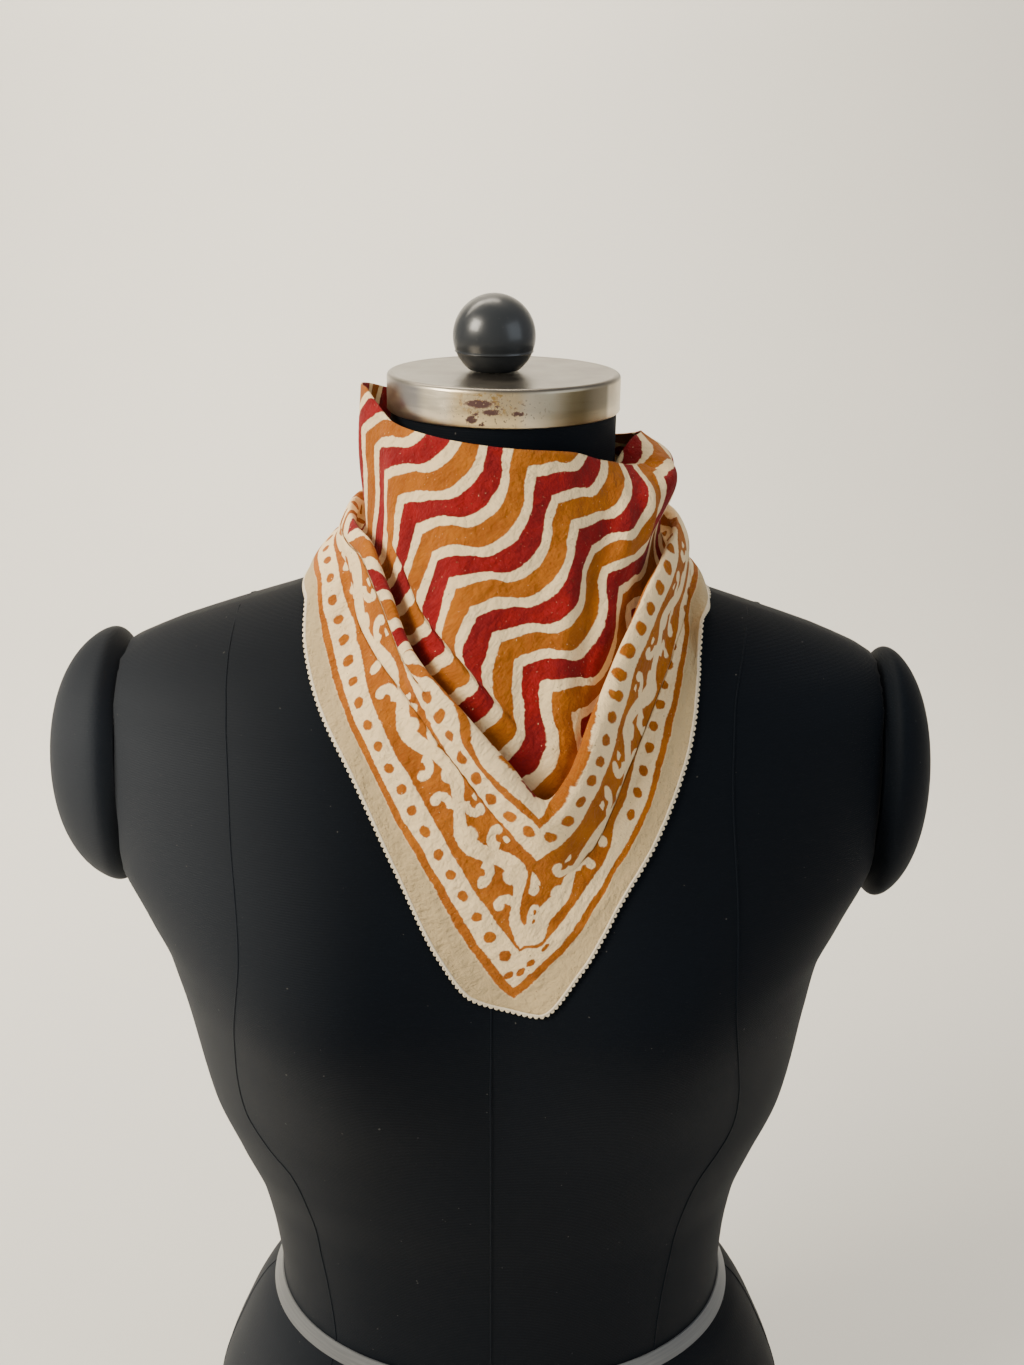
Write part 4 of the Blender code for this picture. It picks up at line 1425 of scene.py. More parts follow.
# %% Places of printed lines
# angle, mark, mm from the left hem and from the right; a line is known from one hem only
PINS = (
    (-2.0, 11.0, 1.0, 17.0),
    (5.5, 11.0, 6.5, 6.5),
    (10.0, 11.0, 14.0, 2.0),
    (3.3, 10.81, 12.5, 12.5),
    (2.0, 10.41, 19.6, 28.0),
    (-3.8, 10.11, 19.6, 49.6),
    (-10.1, 10.0, 19.6, 71.2),
    (-16.9, 9.98, 19.6, 92.8),
    (-23.7, 10.05, 19.6, 114.4),
    (-29.8, 10.0, 19.6, 136.0),
    (-37.2, 9.92, 19.6, 157.6),
    (-44.9, 9.73, 19.6, 179.2),
    (-53.0, 9.72, 19.6, 200.8),
    (-61.9, 9.76, 19.6, 222.4),
    (-42.7, 10.27, 12.5, None),
    (-28.8, 10.41, 12.5, None),
    (-15.9, 10.23, 12.5, None),
    (-6.0, 10.45, 12.5, None),
    (-54.5, 10.18, 12.5, None),
    (14.1, 10.16, None, 12.5),
    (22.5, 10.0, None, 12.5),
    (35.1, 10.14, None, 12.5),
    (48.7, 9.73, None, 12.5),
    (58.4, 10.27, None, 12.5),
    (33.3, 9.84, 103.6, 19.6),
    (36.5, 9.36, 125.2, 19.6),
    (42.2, 9.2, 146.8, 19.6),
    (53.1, 9.14, 179.2, 19.6),
    (63.1, 9.19, 200.8, 19.6),
    (9.9, 8.49, 57.6, 57.6),
    (3.2, 8.62, 57.6, 75.9),
    (-2.0, 8.78, 57.6, 86.7),
    (-6.0, 8.89, 57.6, 97.5),
    (-9.4, 8.73, 57.6, 108.3),
    (-11.6, 8.33, 57.6, 119.1),
    (-13.3, 7.83, 57.6, 129.9),
    (16.8, 8.33, 75.9, 57.6),
    (22.9, 8.39, 97.5, 57.6),
    (24.5, 8.13, 119.1, 57.6),
    (26.9, 7.58, 140.7, 57.6),
    (30.8, 6.9, 162.3, 57.6),
    (-3.8, 8.25, 65.0, None),
    (0.3, 8.38, 65.0, None),
    (0.5, 7.81, 70.0, None),
    (4.2, 7.75, 70.0, None),
    (-4.5, 7.85, 71.0, None),
    (9.5, 7.91, 65.0, 65.0),
    (17.3, 7.69, None, 65.0),
    (23.4, 7.0, None, 65.0),
    (-50.0, 7.3, 84.0, None),
    (-36.0, 7.4, 80.0, None),
    (-41.4, 8.09, 46.0, None),
    (-47.8, 8.10, 45.0, None),
    (-40.0, 7.60, 84.0, None),
    (-32.5, 7.33, 85.0, None),
    (-27.9, 9.63, 28.4, None),
    (-32.7, 9.12, 32.0, None),
    (-14.1, 9.36, 32.0, None),
    (-18.1, 8.67, 51.9, None),
    (-12.6, 8.90, 51.9, None),
    (-5.2, 8.90, 51.9, None),
    (5.2, 8.65, 51.9, None),
    (34.1, 8.02, None, 51.9),
    (31.7, 8.25, None, 51.9),
    (31.1, 8.56, None, 50.4),
    (29.3, 8.64, None, 50.4),
    (25.4, 8.67, None, 50.4),
    (-18.1, 1.17, 126.0, 174.0),
    (18.6, 0.41, 184.0, 174.0),
    (-36.7, 0.97, 126.0, 205.0),
    (-59.3, 0.59, 126.0, 236.0),
    (-2.9, 1.34, 126.0, 143.0),
    (33.5, 0.96, 184.0, 143.0),
    (9.9, 1.46, 126.0, 112.0),
)
print("places of printed lines", len(PINS))

# %% [markdown]
# ## A coarse copy of the grid
# Laying cloth flat is a sum over every pair of neighbours, and a fine grid would take minutes.
# So every fifth row and sixth column stand for the rest, and each tuck keeps its own three rows.

# %% Coarse grid
COARSE_COLUMNS = 6
COARSE_ROWS = 5
KEPT_GAP = 3


def coarse_steps(count, step, kept=()):
    """Every step-th index with the last one, and the rows at each kept one, not its neighbours."""
    steps = [*range(0, count - 1, step), count - 1]
    steps = [i for i in steps if all(abs(i - row) > KEPT_GAP for row in kept)]
    return np.array(sorted({*steps, *(row + k for row in kept for k in (-1, 0, 1))}))


def triangles_of(columns, rows):
    """Both triangles of each quad of a grid."""
    out = []
    for i in range(columns - 1):
        for j in range(rows - 1):
            a = i * rows + j
            out += [(a, a + rows, a + rows + 1), (a, a + rows + 1, a + 1)]
    return np.array(out)


column_steps = coarse_steps(len(cloth_angles), COARSE_COLUMNS)
row_steps = coarse_steps(len(row_marks), COARSE_ROWS, tucked_rows)
print("coarse grid", len(column_steps), "by", len(row_steps))

# %% [markdown]
# ## Laying the cloth flat
# Unwrapping by projection would stretch the stripes over the folds. Here the coarse grid is laid
# flat so that each small triangle keeps its shape, while the two hems stay on the square's
# straight edges. That is the as-rigid-as-possible method: turn each triangle to fit, join them
# all with one linear solve, and repeat. The known places of the print pull on it like springs.

# %% Flat cut
SQUARE_SIDE = 0.500
FIT_ROUNDS = 120
TIP_ANGLE = 5.5
TIP_FREE_LEFT = 0.024
TIP_FREE_RIGHT = 0.026
FAN_LEAN = math.radians(45.0)
FAN_REACH = 0.20
HEM_HOLD = 1e4
PIN_HOLD = 6.0
STIFFNESS_RANGE = (0.05, 20.0)
LEAST_SQUARE = 1e-14
LEAST_AREA = 1e-12


def cross(a, b):
    """The signed area that two rows of plane vectors span."""
    return a[:, 0] * b[:, 1] - a[:, 1] * b[:, 0]


def laid_triangles(corners):
    """Each triangle laid flat on its own."""
    edge = corners[:, 1] - corners[:, 0]
    other = corners[:, 2] - corners[:, 0]
    length = np.linalg.norm(edge, axis=1)
    along = (other * edge).sum(axis=1) / length
    up = np.sqrt(np.maximum((other ** 2).sum(axis=1) - along ** 2, LEAST_SQUARE))
    local = np.zeros((len(corners), 3, 2))
    local[:, 1, 0] = length
    local[:, 2, 0] = along
    local[:, 2, 1] = -up
    return local


def edge_stiffness(local, triangles, count):
    """The stiffness of each edge is the cotangent of the corner that faces it."""
    stiff = np.zeros((count, count))
    weights = np.zeros((len(triangles), 3))
    for k in range(3):
        a = local[:, (k + 1) % 3] - local[:, k]
        b = local[:, (k + 2) % 3] - local[:, k]
        cotangent = (a * b).sum(axis=1) / np.maximum(np.abs(cross(a, b)), LEAST_AREA)
        weights[:, k] = np.clip(cotangent, *STIFFNESS_RANGE)
        i = triangles[:, (k + 1) % 3]
        j = triangles[:, (k + 2) % 3]
        for row, column, sign in ((i, i, 1.0), (j, j, 1.0), (i, j, -1.0), (j, i, -1.0)):
            np.add.at(stiff, (row, column), sign * weights[:, k])
    return stiff, weights


def first_layout(grid, travel):
    """A first guess: the columns fan out from the hem."""
    lengths = np.linalg.norm(np.diff(grid, axis=1), axis=2)
    to_hem = np.cumsum(lengths[:, ::-1], axis=1)[:, ::-1]
    to_hem = np.concatenate([to_hem, np.zeros((len(grid), 1))], axis=1)
    flat = np.zeros((*grid.shape[:2], 2))
    for i, way in enumerate(travel):
        lean = FAN_LEAN * (1.0 - min(abs(way) / FAN_REACH, 1.0))
        near, far = (0, 1) if way < 0.0 else (1, 0)
        flat[i, :, near] = to_hem[i] * math.cos(lean)
        flat[i, :, far] = abs(way) + to_hem[i] * math.sin(lean)
    return flat.reshape(-1, 2)


def held_layout(stiff, held, axis, angles, marks):
    """One direction's solve, with a hem held on its line, and the pull of the known places."""
    rows = len(marks)
    matrix = stiff.copy()
    matrix[held, held] += HEM_HOLD
    pull = np.zeros(len(stiff))
    for pin in PINS:
        if pin[2 + axis] is None:
            continue
        column = np.interp(pin[0], angles, np.arange(len(angles)))
        row = np.interp(pin[1], marks, np.arange(rows))
        i = min(int(column), len(angles) - 2)
        j = min(int(row), rows - 2)
        u = column - i
        v = row - j
        near = np.array([0, rows, 1, rows + 1]) + i * rows + j
        share = np.array([(1 - u) * (1 - v), u * (1 - v), (1 - u) * v, u * v])
        matrix[np.ix_(near, near)] += PIN_HOLD * np.outer(share, share)
        pull[near] += PIN_HOLD * share * pin[2 + axis] * MM
    return np.linalg.inv(matrix), pull


def fitted_pull(flat, local, weights, triangles, count):
    """Turns each triangle to fit the layout, and gives the pull of its edges on its corners."""
    now = flat[triangles]
    turn = np.zeros((len(triangles), 2))
    for k in range(3):
        a = local[:, (k + 2) % 3] - local[:, (k + 1) % 3]
        b = now[:, (k + 2) % 3] - now[:, (k + 1) % 3]
        turn[:, 0] += weights[:, k] * (a * b).sum(axis=1)
        turn[:, 1] += weights[:, k] * cross(a, b)
    turn /= np.linalg.norm(turn, axis=1, keepdims=True)
    pull = np.zeros((count, 2))
    for k in range(3):
        a = local[:, (k + 2) % 3] - local[:, (k + 1) % 3]
        x = turn[:, 0] * a[:, 0] - turn[:, 1] * a[:, 1]
        y = turn[:, 1] * a[:, 0] + turn[:, 0] * a[:, 1]
        for axis, part in enumerate((x, y)):
            part = part * weights[:, k]
            pull[:, axis] += np.bincount(triangles[:, (k + 2) % 3], part, count)
            pull[:, axis] -= np.bincount(triangles[:, (k + 1) % 3], part, count)
    return pull


def lay_flat(grid, angles, marks):
    """Flat coordinates of a grid: distance from the left hem and from the right hem."""
    columns, rows = grid.shape[:2]
    count = columns * rows
    triangles = triangles_of(columns, rows)
    local = laid_triangles(grid.reshape(-1, 3)[triangles])
    stiff, weights = edge_stiffness(local, triangles, count)
    steps = np.linalg.norm(np.diff(grid[:, -1], axis=0), axis=1)
    travel = np.concatenate([[0.0], np.cumsum(steps)])
    travel -= travel[int(np.argmin(np.abs(angles - TIP_ANGLE)))]
    hem_points = np.arange(columns) * rows + rows - 1
    hems = (hem_points[travel < -TIP_FREE_LEFT], hem_points[travel > TIP_FREE_RIGHT])
    solves = [held_layout(stiff, held, axis, angles, marks) for axis, held in enumerate(hems)]
    flat = first_layout(grid, travel)
    for _ in range(FIT_ROUNDS):
        pull = fitted_pull(flat, local, weights, triangles, count)
        flat = [solve @ (pins + pull[:, k]) for k, (solve, pins) in enumerate(solves)]
        flat = np.stack(flat, axis=1)
    return flat.reshape(columns, rows, 2)


def refine(values, columns, rows):
    """A coarse grid of values read back on every column and row, smoothly."""
    across = np.arange(columns)
    down = np.arange(rows)
    wide = [smooth_value(column_steps, values[:, j], across) for j in range(values.shape[1])]
    wide = np.stack(wide, axis=1)
    return np.stack([smooth_value(row_steps, wide[i], down) for i in across], axis=0)


coarse = tucked_grid[np.ix_(column_steps, row_steps)]
coarse_flat = lay_flat(coarse, cloth_angles[column_steps], row_marks[row_steps])
flat_cut = np.stack([refine(coarse_flat[..., k], *cloth_grid.shape[:2]) for k in range(2)], axis=-1)
print("flat cut from", flat_cut.min(axis=(0, 1)).round(3), "to", flat_cut.max(axis=(0, 1)).round(3))

# %% [markdown]
# ## The block print
# The print is ordinary hand-block work: a plain margin, an ochre line, a band of dots, a scroll
# on ochre, dots and a line again, and a field of waves in red, cream and ochre. It is drawn with
# sums on the flat coordinates, so it follows the cloth through every fold. All its sizes are
# millimetres on the flat square, and every part is measured from the nearest hem.

# %% Sizes and colours of the print
MARGIN = 10.7
LINE_WIDTH = 3.6
DOTS_START = MARGIN + LINE_WIDTH
DOTS_WIDTH = 10.6
SCROLL_START = DOTS_START + DOTS_WIDTH
SCROLL_WIDTH = 27.0
INNER_DOTS = SCROLL_START + SCROLL_WIDTH
INNER_DOTS_WIDTH = 11.4
INNER_LINE = INNER_DOTS + INNER_DOTS_WIDTH
INNER_LINE_WIDTH = 3.3
FIELD_GAP = 7.4
FIELD_START = INNER_LINE + FIELD_GAP
CREAM = ink(252, 221, 170)
# the bare margin's cotton, with painted shade where the dark form shows through the thin cloth
MARGIN_COTTON_AND_SHADE = ink(190, 165, 123)
WOVEN_SHADE = ink(186, 172, 142)
OCHRE = ink(173, 95, 4)
OCHRE_DEEP = ink(148, 75, 3)
OCHRE_WORN = ink(205, 150, 66)
RED = ink(145, 7, 12)
RED_DEEP = ink(115, 4, 8)
RED_WORN = ink(190, 60, 60)
SEED_HUSK = ink(110, 84, 52)
print("border", round(FIELD_START, 1), "mm wide")

# %% [markdown]
# ## Lines and dots
# Two rows of dots run beside the scroll, with a plain line outside each. A fraction of the
# distance along the hem repeats one dot for ever, which a texture would do only with a picture.
# In the corner the rows give way to four small dots that the printer fitted in by hand.

# %% Lines and dots
DOT_PITCH = 10.8
DOT_RADIUS = 2.3
DOT_SIZE = (DOT_RADIUS * 1.06, DOT_RADIUS)
INNER_DOT_SIZE = (DOT_RADIUS * 1.25, DOT_RADIUS * 1.12)
FIRST_DOT = 28.0
FIRST_INNER_DOT = 65.1
RIGHT_DOTS_START = 75.4
# distances from both hems and half sizes
SMALL_DOTS = (
    (16.0, 20.0, 2.1, 1.5),
    (20.2, 17.6, 2.0, 1.4),
    (25.2, 17.6, 1.9, 1.3),
    (34.0, 18.8, 2.3, 1.0),
)


def row_of_dots(deep, along, first, start, width, size):
    """Dots in a band that starts at a depth; they repeat along it in step with the first."""
    x = (((along - first) / DOT_PITCH + 0.5).fraction() - 0.5) * DOT_PITCH
    return disc(x, deep, 0.0, start + width / 2.0, *size)


def lines_and_dots(p, q, deep, along):
    """The border's ochre lines and dots."""
    line = between(deep, MARGIN, DOTS_START)
    inner_line = between(deep, INNER_LINE, INNER_LINE + INNER_LINE_WIDTH)
    starts = (p > q) * RIGHT_DOTS_START + (FIRST_DOT - DOT_PITCH * 0.5)
    dots = row_of_dots(deep, along, FIRST_DOT, DOTS_START, DOTS_WIDTH, DOT_SIZE)
    dots = dots * (along > starts)
    inner = row_of_dots(deep, along, FIRST_INNER_DOT, INNER_DOTS, INNER_DOTS_WIDTH, INNER_DOT_SIZE)
    inner = inner * (along > FIRST_INNER_DOT - DOT_PITCH * 0.5)
    marks = line.most(dots).most(inner).most(inner_line)
    for dot in SMALL_DOTS:
        marks = marks.most(disc(p, q, *dot))
    return marks


print("small dots", len(SMALL_DOTS))

# %% [markdown]
# ## The scroll
# A cream vine swings along an ochre band, with a curl, a leaf and a seed in each half swing. Every
# second half swing is the first one turned over, so one set of sums draws them all. At the corner
# the vine makes a single bend round a large leaf. The printer set the right-hand block a little
# too near the hem there, and so does this one.

# %% The scroll
HALF_SCROLL = 27.0
FIRST_SCROLL = 53.9
RIGHT_SCROLL_SHIFT = 28.3
VINE_MIDDLE = 13.5
VINE_SWING = 5.1
VINE_HALF = 3.4
VINE_SWELL = 0.5
HOOK_PLACE = (9.9, 5.7)
HOOK_RADIUS = 4.5
HOOK_HALF = 1.9
HOOK_SLOPE = 1.18
HOOK_FOOT = (1.0, 1.6)
HOOK_FOOT_DROP = 0.8
HOOK_FOOT_SOFT = 0.3
BUD_PLACE = (6.1, 4.9)
BUD_RADIUS = 2.4
LEAF = (0.0, 15.4, 3.6, 3.2)
SEED = (12.6, 4.6, 2.3, 1.2)
CURLS_START = (43.0, 44.0)
CORNER_ROUND = (36.0, 50.0)
CORNER_VINE = 8.6
CORNER_VINE_TURN = 3.7
CORNER_VINE_LEAN = (-14.0, 0.0)
# side to side and deep from the corner: middle, half sizes and softness
CORNER_CLEARING = (5.0, 14.0, 10.5, 5.6, 0.03)
CORNER_LEAF = (6.0, 10.8, 4.8, 3.5, 0.06)
CORNER_TUFT = (3.5, 18.2, 3.6, 1.6, 0.08)
LEAF_DOTS_MIDDLE = 10.9
LEAF_DOTS = (1.25, 6.6, 0.7, 1.3)
RIGHT_BLOCK_OFF = 4.3
RIGHT_BLOCK_LEAN = (0.0, 14.0)
RIGHT_BLOCK_ENDS = (80.0, 98.0)


def hooks(x, y):
    """A curl of the scroll in band coordinates: a thick hook with a round bud on its end."""
    ax = x - HOOK_PLACE[0]
    ay = y - HOOK_PLACE[1]
    reach = (ax * ax + ay * ay).root()
    ring = 1.0 - above((reach - HOOK_RADIUS).absolute() - HOOK_HALF)
    upper = above(ay - ax.most(0.0) * HOOK_SLOPE)
    lower = (-ax).fade(*HOOK_FOOT) * above(ay + HOOK_FOOT_DROP, 0.0, HOOK_FOOT_SOFT)
    return (ring * upper.most(lower)).most(disc(x, y, *BUD_PLACE, BUD_RADIUS, BUD_RADIUS))


def scroll_vine(across, along, lean, bend, turned_over):
    """The vine's mask: a wave along the band that becomes one bend at the corner."""
    straight = VINE_MIDDLE + bend * VINE_SWING * (1.0 - turned_over * 2.0)
    corner = CORNER_VINE - lean.fade(*CORNER_VINE_LEAN) * CORNER_VINE_TURN
    middle = straight + (corner - straight) * (1.0 - along.fade(*CORNER_ROUND))
    return 1.0 - above((across - middle).absolute() - VINE_HALF - bend * VINE_SWELL)


def scroll_band(p, q, deep, along):
    """The ochre of the scroll's band: its ground without the cream vine, curls and leaves."""
    lean = p - q
    corner_deep = (p + q) * 0.5 - SCROLL_START
    set_off = lean.fade(*RIGHT_BLOCK_LEAN) * (1.0 - along.fade(*RIGHT_BLOCK_ENDS)) * RIGHT_BLOCK_OFF
    across = deep - SCROLL_START + set_off
    step = (along - FIRST_SCROLL + (p > q) * RIGHT_SCROLL_SHIFT) / HALF_SCROLL + 0.5
    cell = step.floor()
    x = (step - cell - 0.5).absolute() * HALF_SCROLL
    turned_over = (cell * 0.5).fraction() * 2.0
    y = across + turned_over * (SCROLL_WIDTH - across * 2.0)
    bend = (x * (math.pi / HALF_SCROLL)).cosine()
    curls = hooks(x, y).most(disc(x, y, *LEAF)) * along.fade(*CURLS_START)
    curls = curls.most(disc(x, y, *SEED) * turned_over)
    curls = curls * (1.0 - disc(lean, corner_deep, *CORNER_CLEARING))
    cream = scroll_vine(across, along, lean, bend, turned_over).most(curls)
    cream = cream.most(disc(lean, corner_deep, *CORNER_LEAF))
    cream = cream.most(disc(lean, corner_deep, *CORNER_TUFT))
    ground = between(deep + set_off, SCROLL_START, SCROLL_START + SCROLL_WIDTH + set_off)
    leaf_dots = disc((corner_deep - LEAF_DOTS_MIDDLE).absolute(), lean, *LEAF_DOTS)
    return ground * (1.0 - cream) + leaf_dots


print("scroll repeats every", 2.0 * HALF_SCROLL, "mm")

# %% [markdown]
# ## The field of waves
# Inside the border, stripes of red, cream and ochre repeat, all bent into the same wave. The
# wave's carved shape has a sharp side and a round side, so a curve through a few points draws it
# where a sine would look machine-made.

# %% The field of waves
WAVE_LENGTH = 58.0
WAVE_SWING = 17.0
STRIPE_REPEAT = 31.0
STRIPE_SOFT = 0.008
RED_STRIPE = (0.335, 0.665)
NOT_OCHRE = (0.165, 0.835)
FIRST_CUSP = (126.0, 174.0)
WAVE_SHAPE = (
    (0.0, 0.0),
    (0.21, 0.46),
    (0.39, 0.95),
    (0.50, 1.0),
    (0.60, 0.97),
    (0.76, 0.70),
    (0.89, 0.26),
    (1.0, 0.0),
)


def wave_stripes(cotton, across, along):
    """The masks of the field's red and ochre stripes."""
    step = (across - FIRST_CUSP[0]) / WAVE_LENGTH
    wave = cotton.add("ShaderNodeFloatCurve", {"curve": WAVE_SHAPE}, {"Value": step.fraction()})
    stripe = (along + wave * WAVE_SWING - FIRST_CUSP[1]) / STRIPE_REPEAT
    stripe = (stripe + 0.5).fraction()
    red = between(stripe, *RED_STRIPE, STRIPE_SOFT)
    return red, 1.0 - between(stripe, *NOT_OCHRE, STRIPE_SOFT)


print("wave", WAVE_LENGTH, "mm, stripes", STRIPE_REPEAT, "mm")

# %% [markdown]
# ## Printed cotton
# A carved block never prints a clean edge: two noises move the pattern a little, one for the
# block's drift and one for the grain of its edge. Then come the weave, the ink's flecks and pools,
# and the cotton's own seeds. The relief is three bumps, one inside the other: crumples, puckers
# and threads, because one noise alone reads as paper.

# %% Printed cotton
# noises: scale, detail and roughness; the two shifts in mm
DRIFT_NOISE = (0.055, 1.0)
DRIFT = 3.2
GRAIN_NOISE = (0.55, 3.0, 0.6)
GRAIN = 1.5
POOL_NOISE = (0.06, 3.0, 0.6)
POOL_RANGE = (0.3, 0.75)
FLECK_NOISE = (0.95, 2.0, 0.6)
FLECK_RARE = (0.715, 0.74)
SEED_NOISE = (0.9, 0.0)
SEED_RARE = (0.815, 0.83)
CRUMPLE_NOISE = (0.10, 4.0, 0.62)
PUCKER_NOISE = (1.0, 3.0, 0.55)
WARP_STRETCH = (0.35, 3.2, 1.0)
WEFT_STRETCH = (3.2, 0.35, 1.0)
PUCKER_STRETCH = (0.22, 0.34, 1.0)
DRAWN_STRETCH = (0.55, 0.55, 1.0)
DRAWN_WIDTH = (1.0, 7.0)
DRAWN_RELIEF = 1.3
# bumps: distance in metres and strength
CRUMPLE_BUMP = (0.0038, 0.8)
PUCKER_BUMP = (0.0008, 0.9)
WEAVE_BUMP = (0.00024, 0.9)
WOVEN_CONTRAST = 2.6
WOVEN_START = 0.35
MARGIN_SOFT = 1.0
# how much of each mark shows, from 0 to 1, and which threads wear
WOVEN_SHARE = 0.30
OCHRE_WEAR = 0.18
OCHRE_WEARS = (0.35, 0.75)
RED_WEAR = 0.14
RED_WEARS = (0.4, 0.8)
SEED_SHARE = 0.6
COTTON_ROUGH = 0.80
WARP_ROUGH = 0.14


def cotton_colours(cotton, place, deep, warp, weft):
    """The bare cotton with painted shade on its margin, the ochre and the red, each with its own
    wear.
    """
    pooled = cotton.noise(place, *POOL_NOISE).fade(*POOL_RANGE)
    # painted shade: the margin is darker, for the dark form showing through the thin cotton
    bare = cotton.mixed(above(deep, MARGIN, MARGIN_SOFT), MARGIN_COTTON_AND_SHADE, CREAM)
    woven = (warp * weft * WOVEN_CONTRAST - WOVEN_START).fade(0.0, 1.0)
    bare = cotton.mixed(woven * WOVEN_SHARE, bare, WOVEN_SHADE)
    ochre = cotton.mixed(pooled, OCHRE_DEEP, OCHRE)
    ochre = cotton.mixed(warp.fade(*OCHRE_WEARS) * OCHRE_WEAR, ochre, OCHRE_WORN)
    red = cotton.mixed(pooled, RED_DEEP, RED)
    red = cotton.mixed(weft.fade(*RED_WEARS) * RED_WEAR, red, RED_WORN)
    return bare, ochre, red


def cotton_relief(cotton, place, deep, warp, weft):
    """Crumples, then puckers and the wrinkles drawn up by the hem's stitches, then threads."""
    crumple = cotton.noise(place, *CRUMPLE_NOISE)
    pucker = cotton.noise(cotton.scaled(place, PUCKER_STRETCH), *PUCKER_NOISE)
    wrinkle = cotton.noise(cotton.scaled(place, DRAWN_STRETCH))
    drawn = (1.0 - deep.fade(*DRAWN_WIDTH)) * wrinkle
    normal = cotton.bump(crumple, *CRUMPLE_BUMP)
    normal = cotton.bump(pucker + drawn * DRAWN_RELIEF, *PUCKER_BUMP, normal)
    return cotton.bump(warp + weft, *WEAVE_BUMP, normal)


def printed_cotton(name):
    """Thin block-printed cotton that reads the flat cut."""
    cotton = Finish(name, sheen_weight=0.05, sheen_roughness=0.6, specular_ior_level=0.2)
    place, from_left, from_right = cotton.flat()
    drift = cotton.noise(place, *DRIFT_NOISE, out=1)
    grain = cotton.noise(place, *GRAIN_NOISE, out=1)
    moved = [
        (cotton.part(drift, k) - 0.5) * DRIFT + (cotton.part(grain, k) - 0.5) * GRAIN
        for k in range(2)
    ]
    side = SQUARE_SIDE * PER_METRE
    p = from_left.least(side - from_left) + moved[0]
    q = from_right.least(side - from_right) + moved[1]
    deep = p.least(q)
    along = p.most(q)
    border = lines_and_dots(p, q, deep, along).most(scroll_band(p, q, deep, along))
    red_stripes, ochre_stripes = wave_stripes(cotton, from_left + moved[0], from_right + moved[1])
    field = above(deep, FIELD_START)
    inked = 1.0 - cotton.noise(place, *FLECK_NOISE).fade(*FLECK_RARE)
    warp = cotton.noise(cotton.scaled(place, WARP_STRETCH))
    weft = cotton.noise(cotton.scaled(place, WEFT_STRETCH))
    bare, ochre, red = cotton_colours(cotton, place, deep, warp, weft)
    colour = cotton.mixed(border.most(field * ochre_stripes) * inked, bare, ochre)
    colour = cotton.mixed(field * red_stripes * inked, colour, red)
    seeds = cotton.noise(place, *SEED_NOISE).fade(*SEED_RARE)
    return cotton.finish(
        base_color=cotton.mixed(seeds * SEED_SHARE, colour, SEED_HUSK),
        roughness=COTTON_ROUGH + warp * WARP_ROUGH,
        normal=cotton_relief(cotton, place, deep, warp, weft),
    )


print_finish = printed_cotton("printed_cotton_finish")
print("print nodes", len(print_finish.node_tree.nodes))

# %% [markdown]
# ## The kerchief's shell
# Cloth seen from both sides needs a thickness, or its edge vanishes and light leaks through. The
# grid is thickened along its own normals into a closed shell 0.7 mm thick. Solidify would do it
# too, but here the flat cut goes onto both walls in the same step.

# %% Kerchief
SHELL = 0.0007


def shell_from_grid(name, grid, flat, wall, finish):
    """A closed thin shell on a grid of points, with the flat cut as its UV map."""
    columns, rows = grid.shape[:2]
    normals = grid_normals(grid)
    outer = (grid + normals * wall / 2.0).reshape(-1, 3)
    inner = (grid - normals * wall / 2.0).reshape(-1, 3)
    count = columns * rows
    faces = grid_faces(columns, rows)
    faces += [tuple(count + v for v in reversed(face)) for face in faces]
    rim = [i * rows for i in range(columns)]
    rim += [(columns - 1) * rows + j for j in range(1, rows)]
    rim += [i * rows + rows - 1 for i in range(columns - 2, -1, -1)]
    rim += [j for j in range(rows - 2, 0, -1)]
    faces += [(b, a, count + a, count + b) for a, b in zip(rim, rim[1:] + rim[:1])]
    made = link_mesh(name, np.concatenate([outer, inner]), faces, finish)
    coordinates = np.concatenate([flat.reshape(-1, 2)] * 2)
    layer = made.data.uv_layers.new(name="flat_cut")
    loops = np.zeros(len(made.data.loops), int)
    made.data.loops.foreach_get("vertex_index", loops)
    layer.data.foreach_set("uv", coordinates[loops].astype(np.float32).ravel())
    return made


kerchief = shell_from_grid("kerchief_cloth", cloth_grid, flat_cut, SHELL, print_finish)
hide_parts("kerchief_front", "kerchief_wrap_left", "kerchief_wrap_right")
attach(kerchief, "root")
print("kerchief faces", len(kerchief.data.polygons))

# %% [markdown]
# ## The knot
# Behind the neck the two ends cross and make a flat knot: one band wraps over, and a lobe of
# gathered cloth goes in at each side. It is a closed form of rings along its width. The folds of
# the band run round it and those of the lobes run into it, so each has its own ripple.

# %% Knot
KNOT_HALF_WIDTH = 0.0185
KNOT_HALF_DEPTH = 0.0122
KNOT_HALF_HEIGHT = 0.0135
KNOT_BACK = 0.0676
KNOT_DROP = 0.048
KNOT_END = 0.42
KNOT_ROUND = 2.6
KNOT_GROOVE = 0.36
KNOT_GROOVE_DEPTH = 0.13
KNOT_GROOVE_WIDTH = 0.08
KNOT_BAND_EDGE = 0.02
KNOT_FOLDS = 5
KNOT_FOLD_RISE = 0.045
KNOT_RINGS = 90
KNOT_SIDES = 120
BAND_FOLDS = 30.0
BAND_FOLD_RISE = 0.028
BAND_SWING = 1.6
BAND_TURN = 0.6
LOBE_FOLDS = 13
LOBE_FOLD_RISE = 0.040
LOBE_LEAN = 4.0
LOBE_SWINGS = 3.0
KNOT_LEAN = 3.0
# the part of the flat square that the knot's print is read from, in metres
KNOT_CUT_START = (0.012, 0.395)
KNOT_CUT_SIZE = (0.085, 0.040)

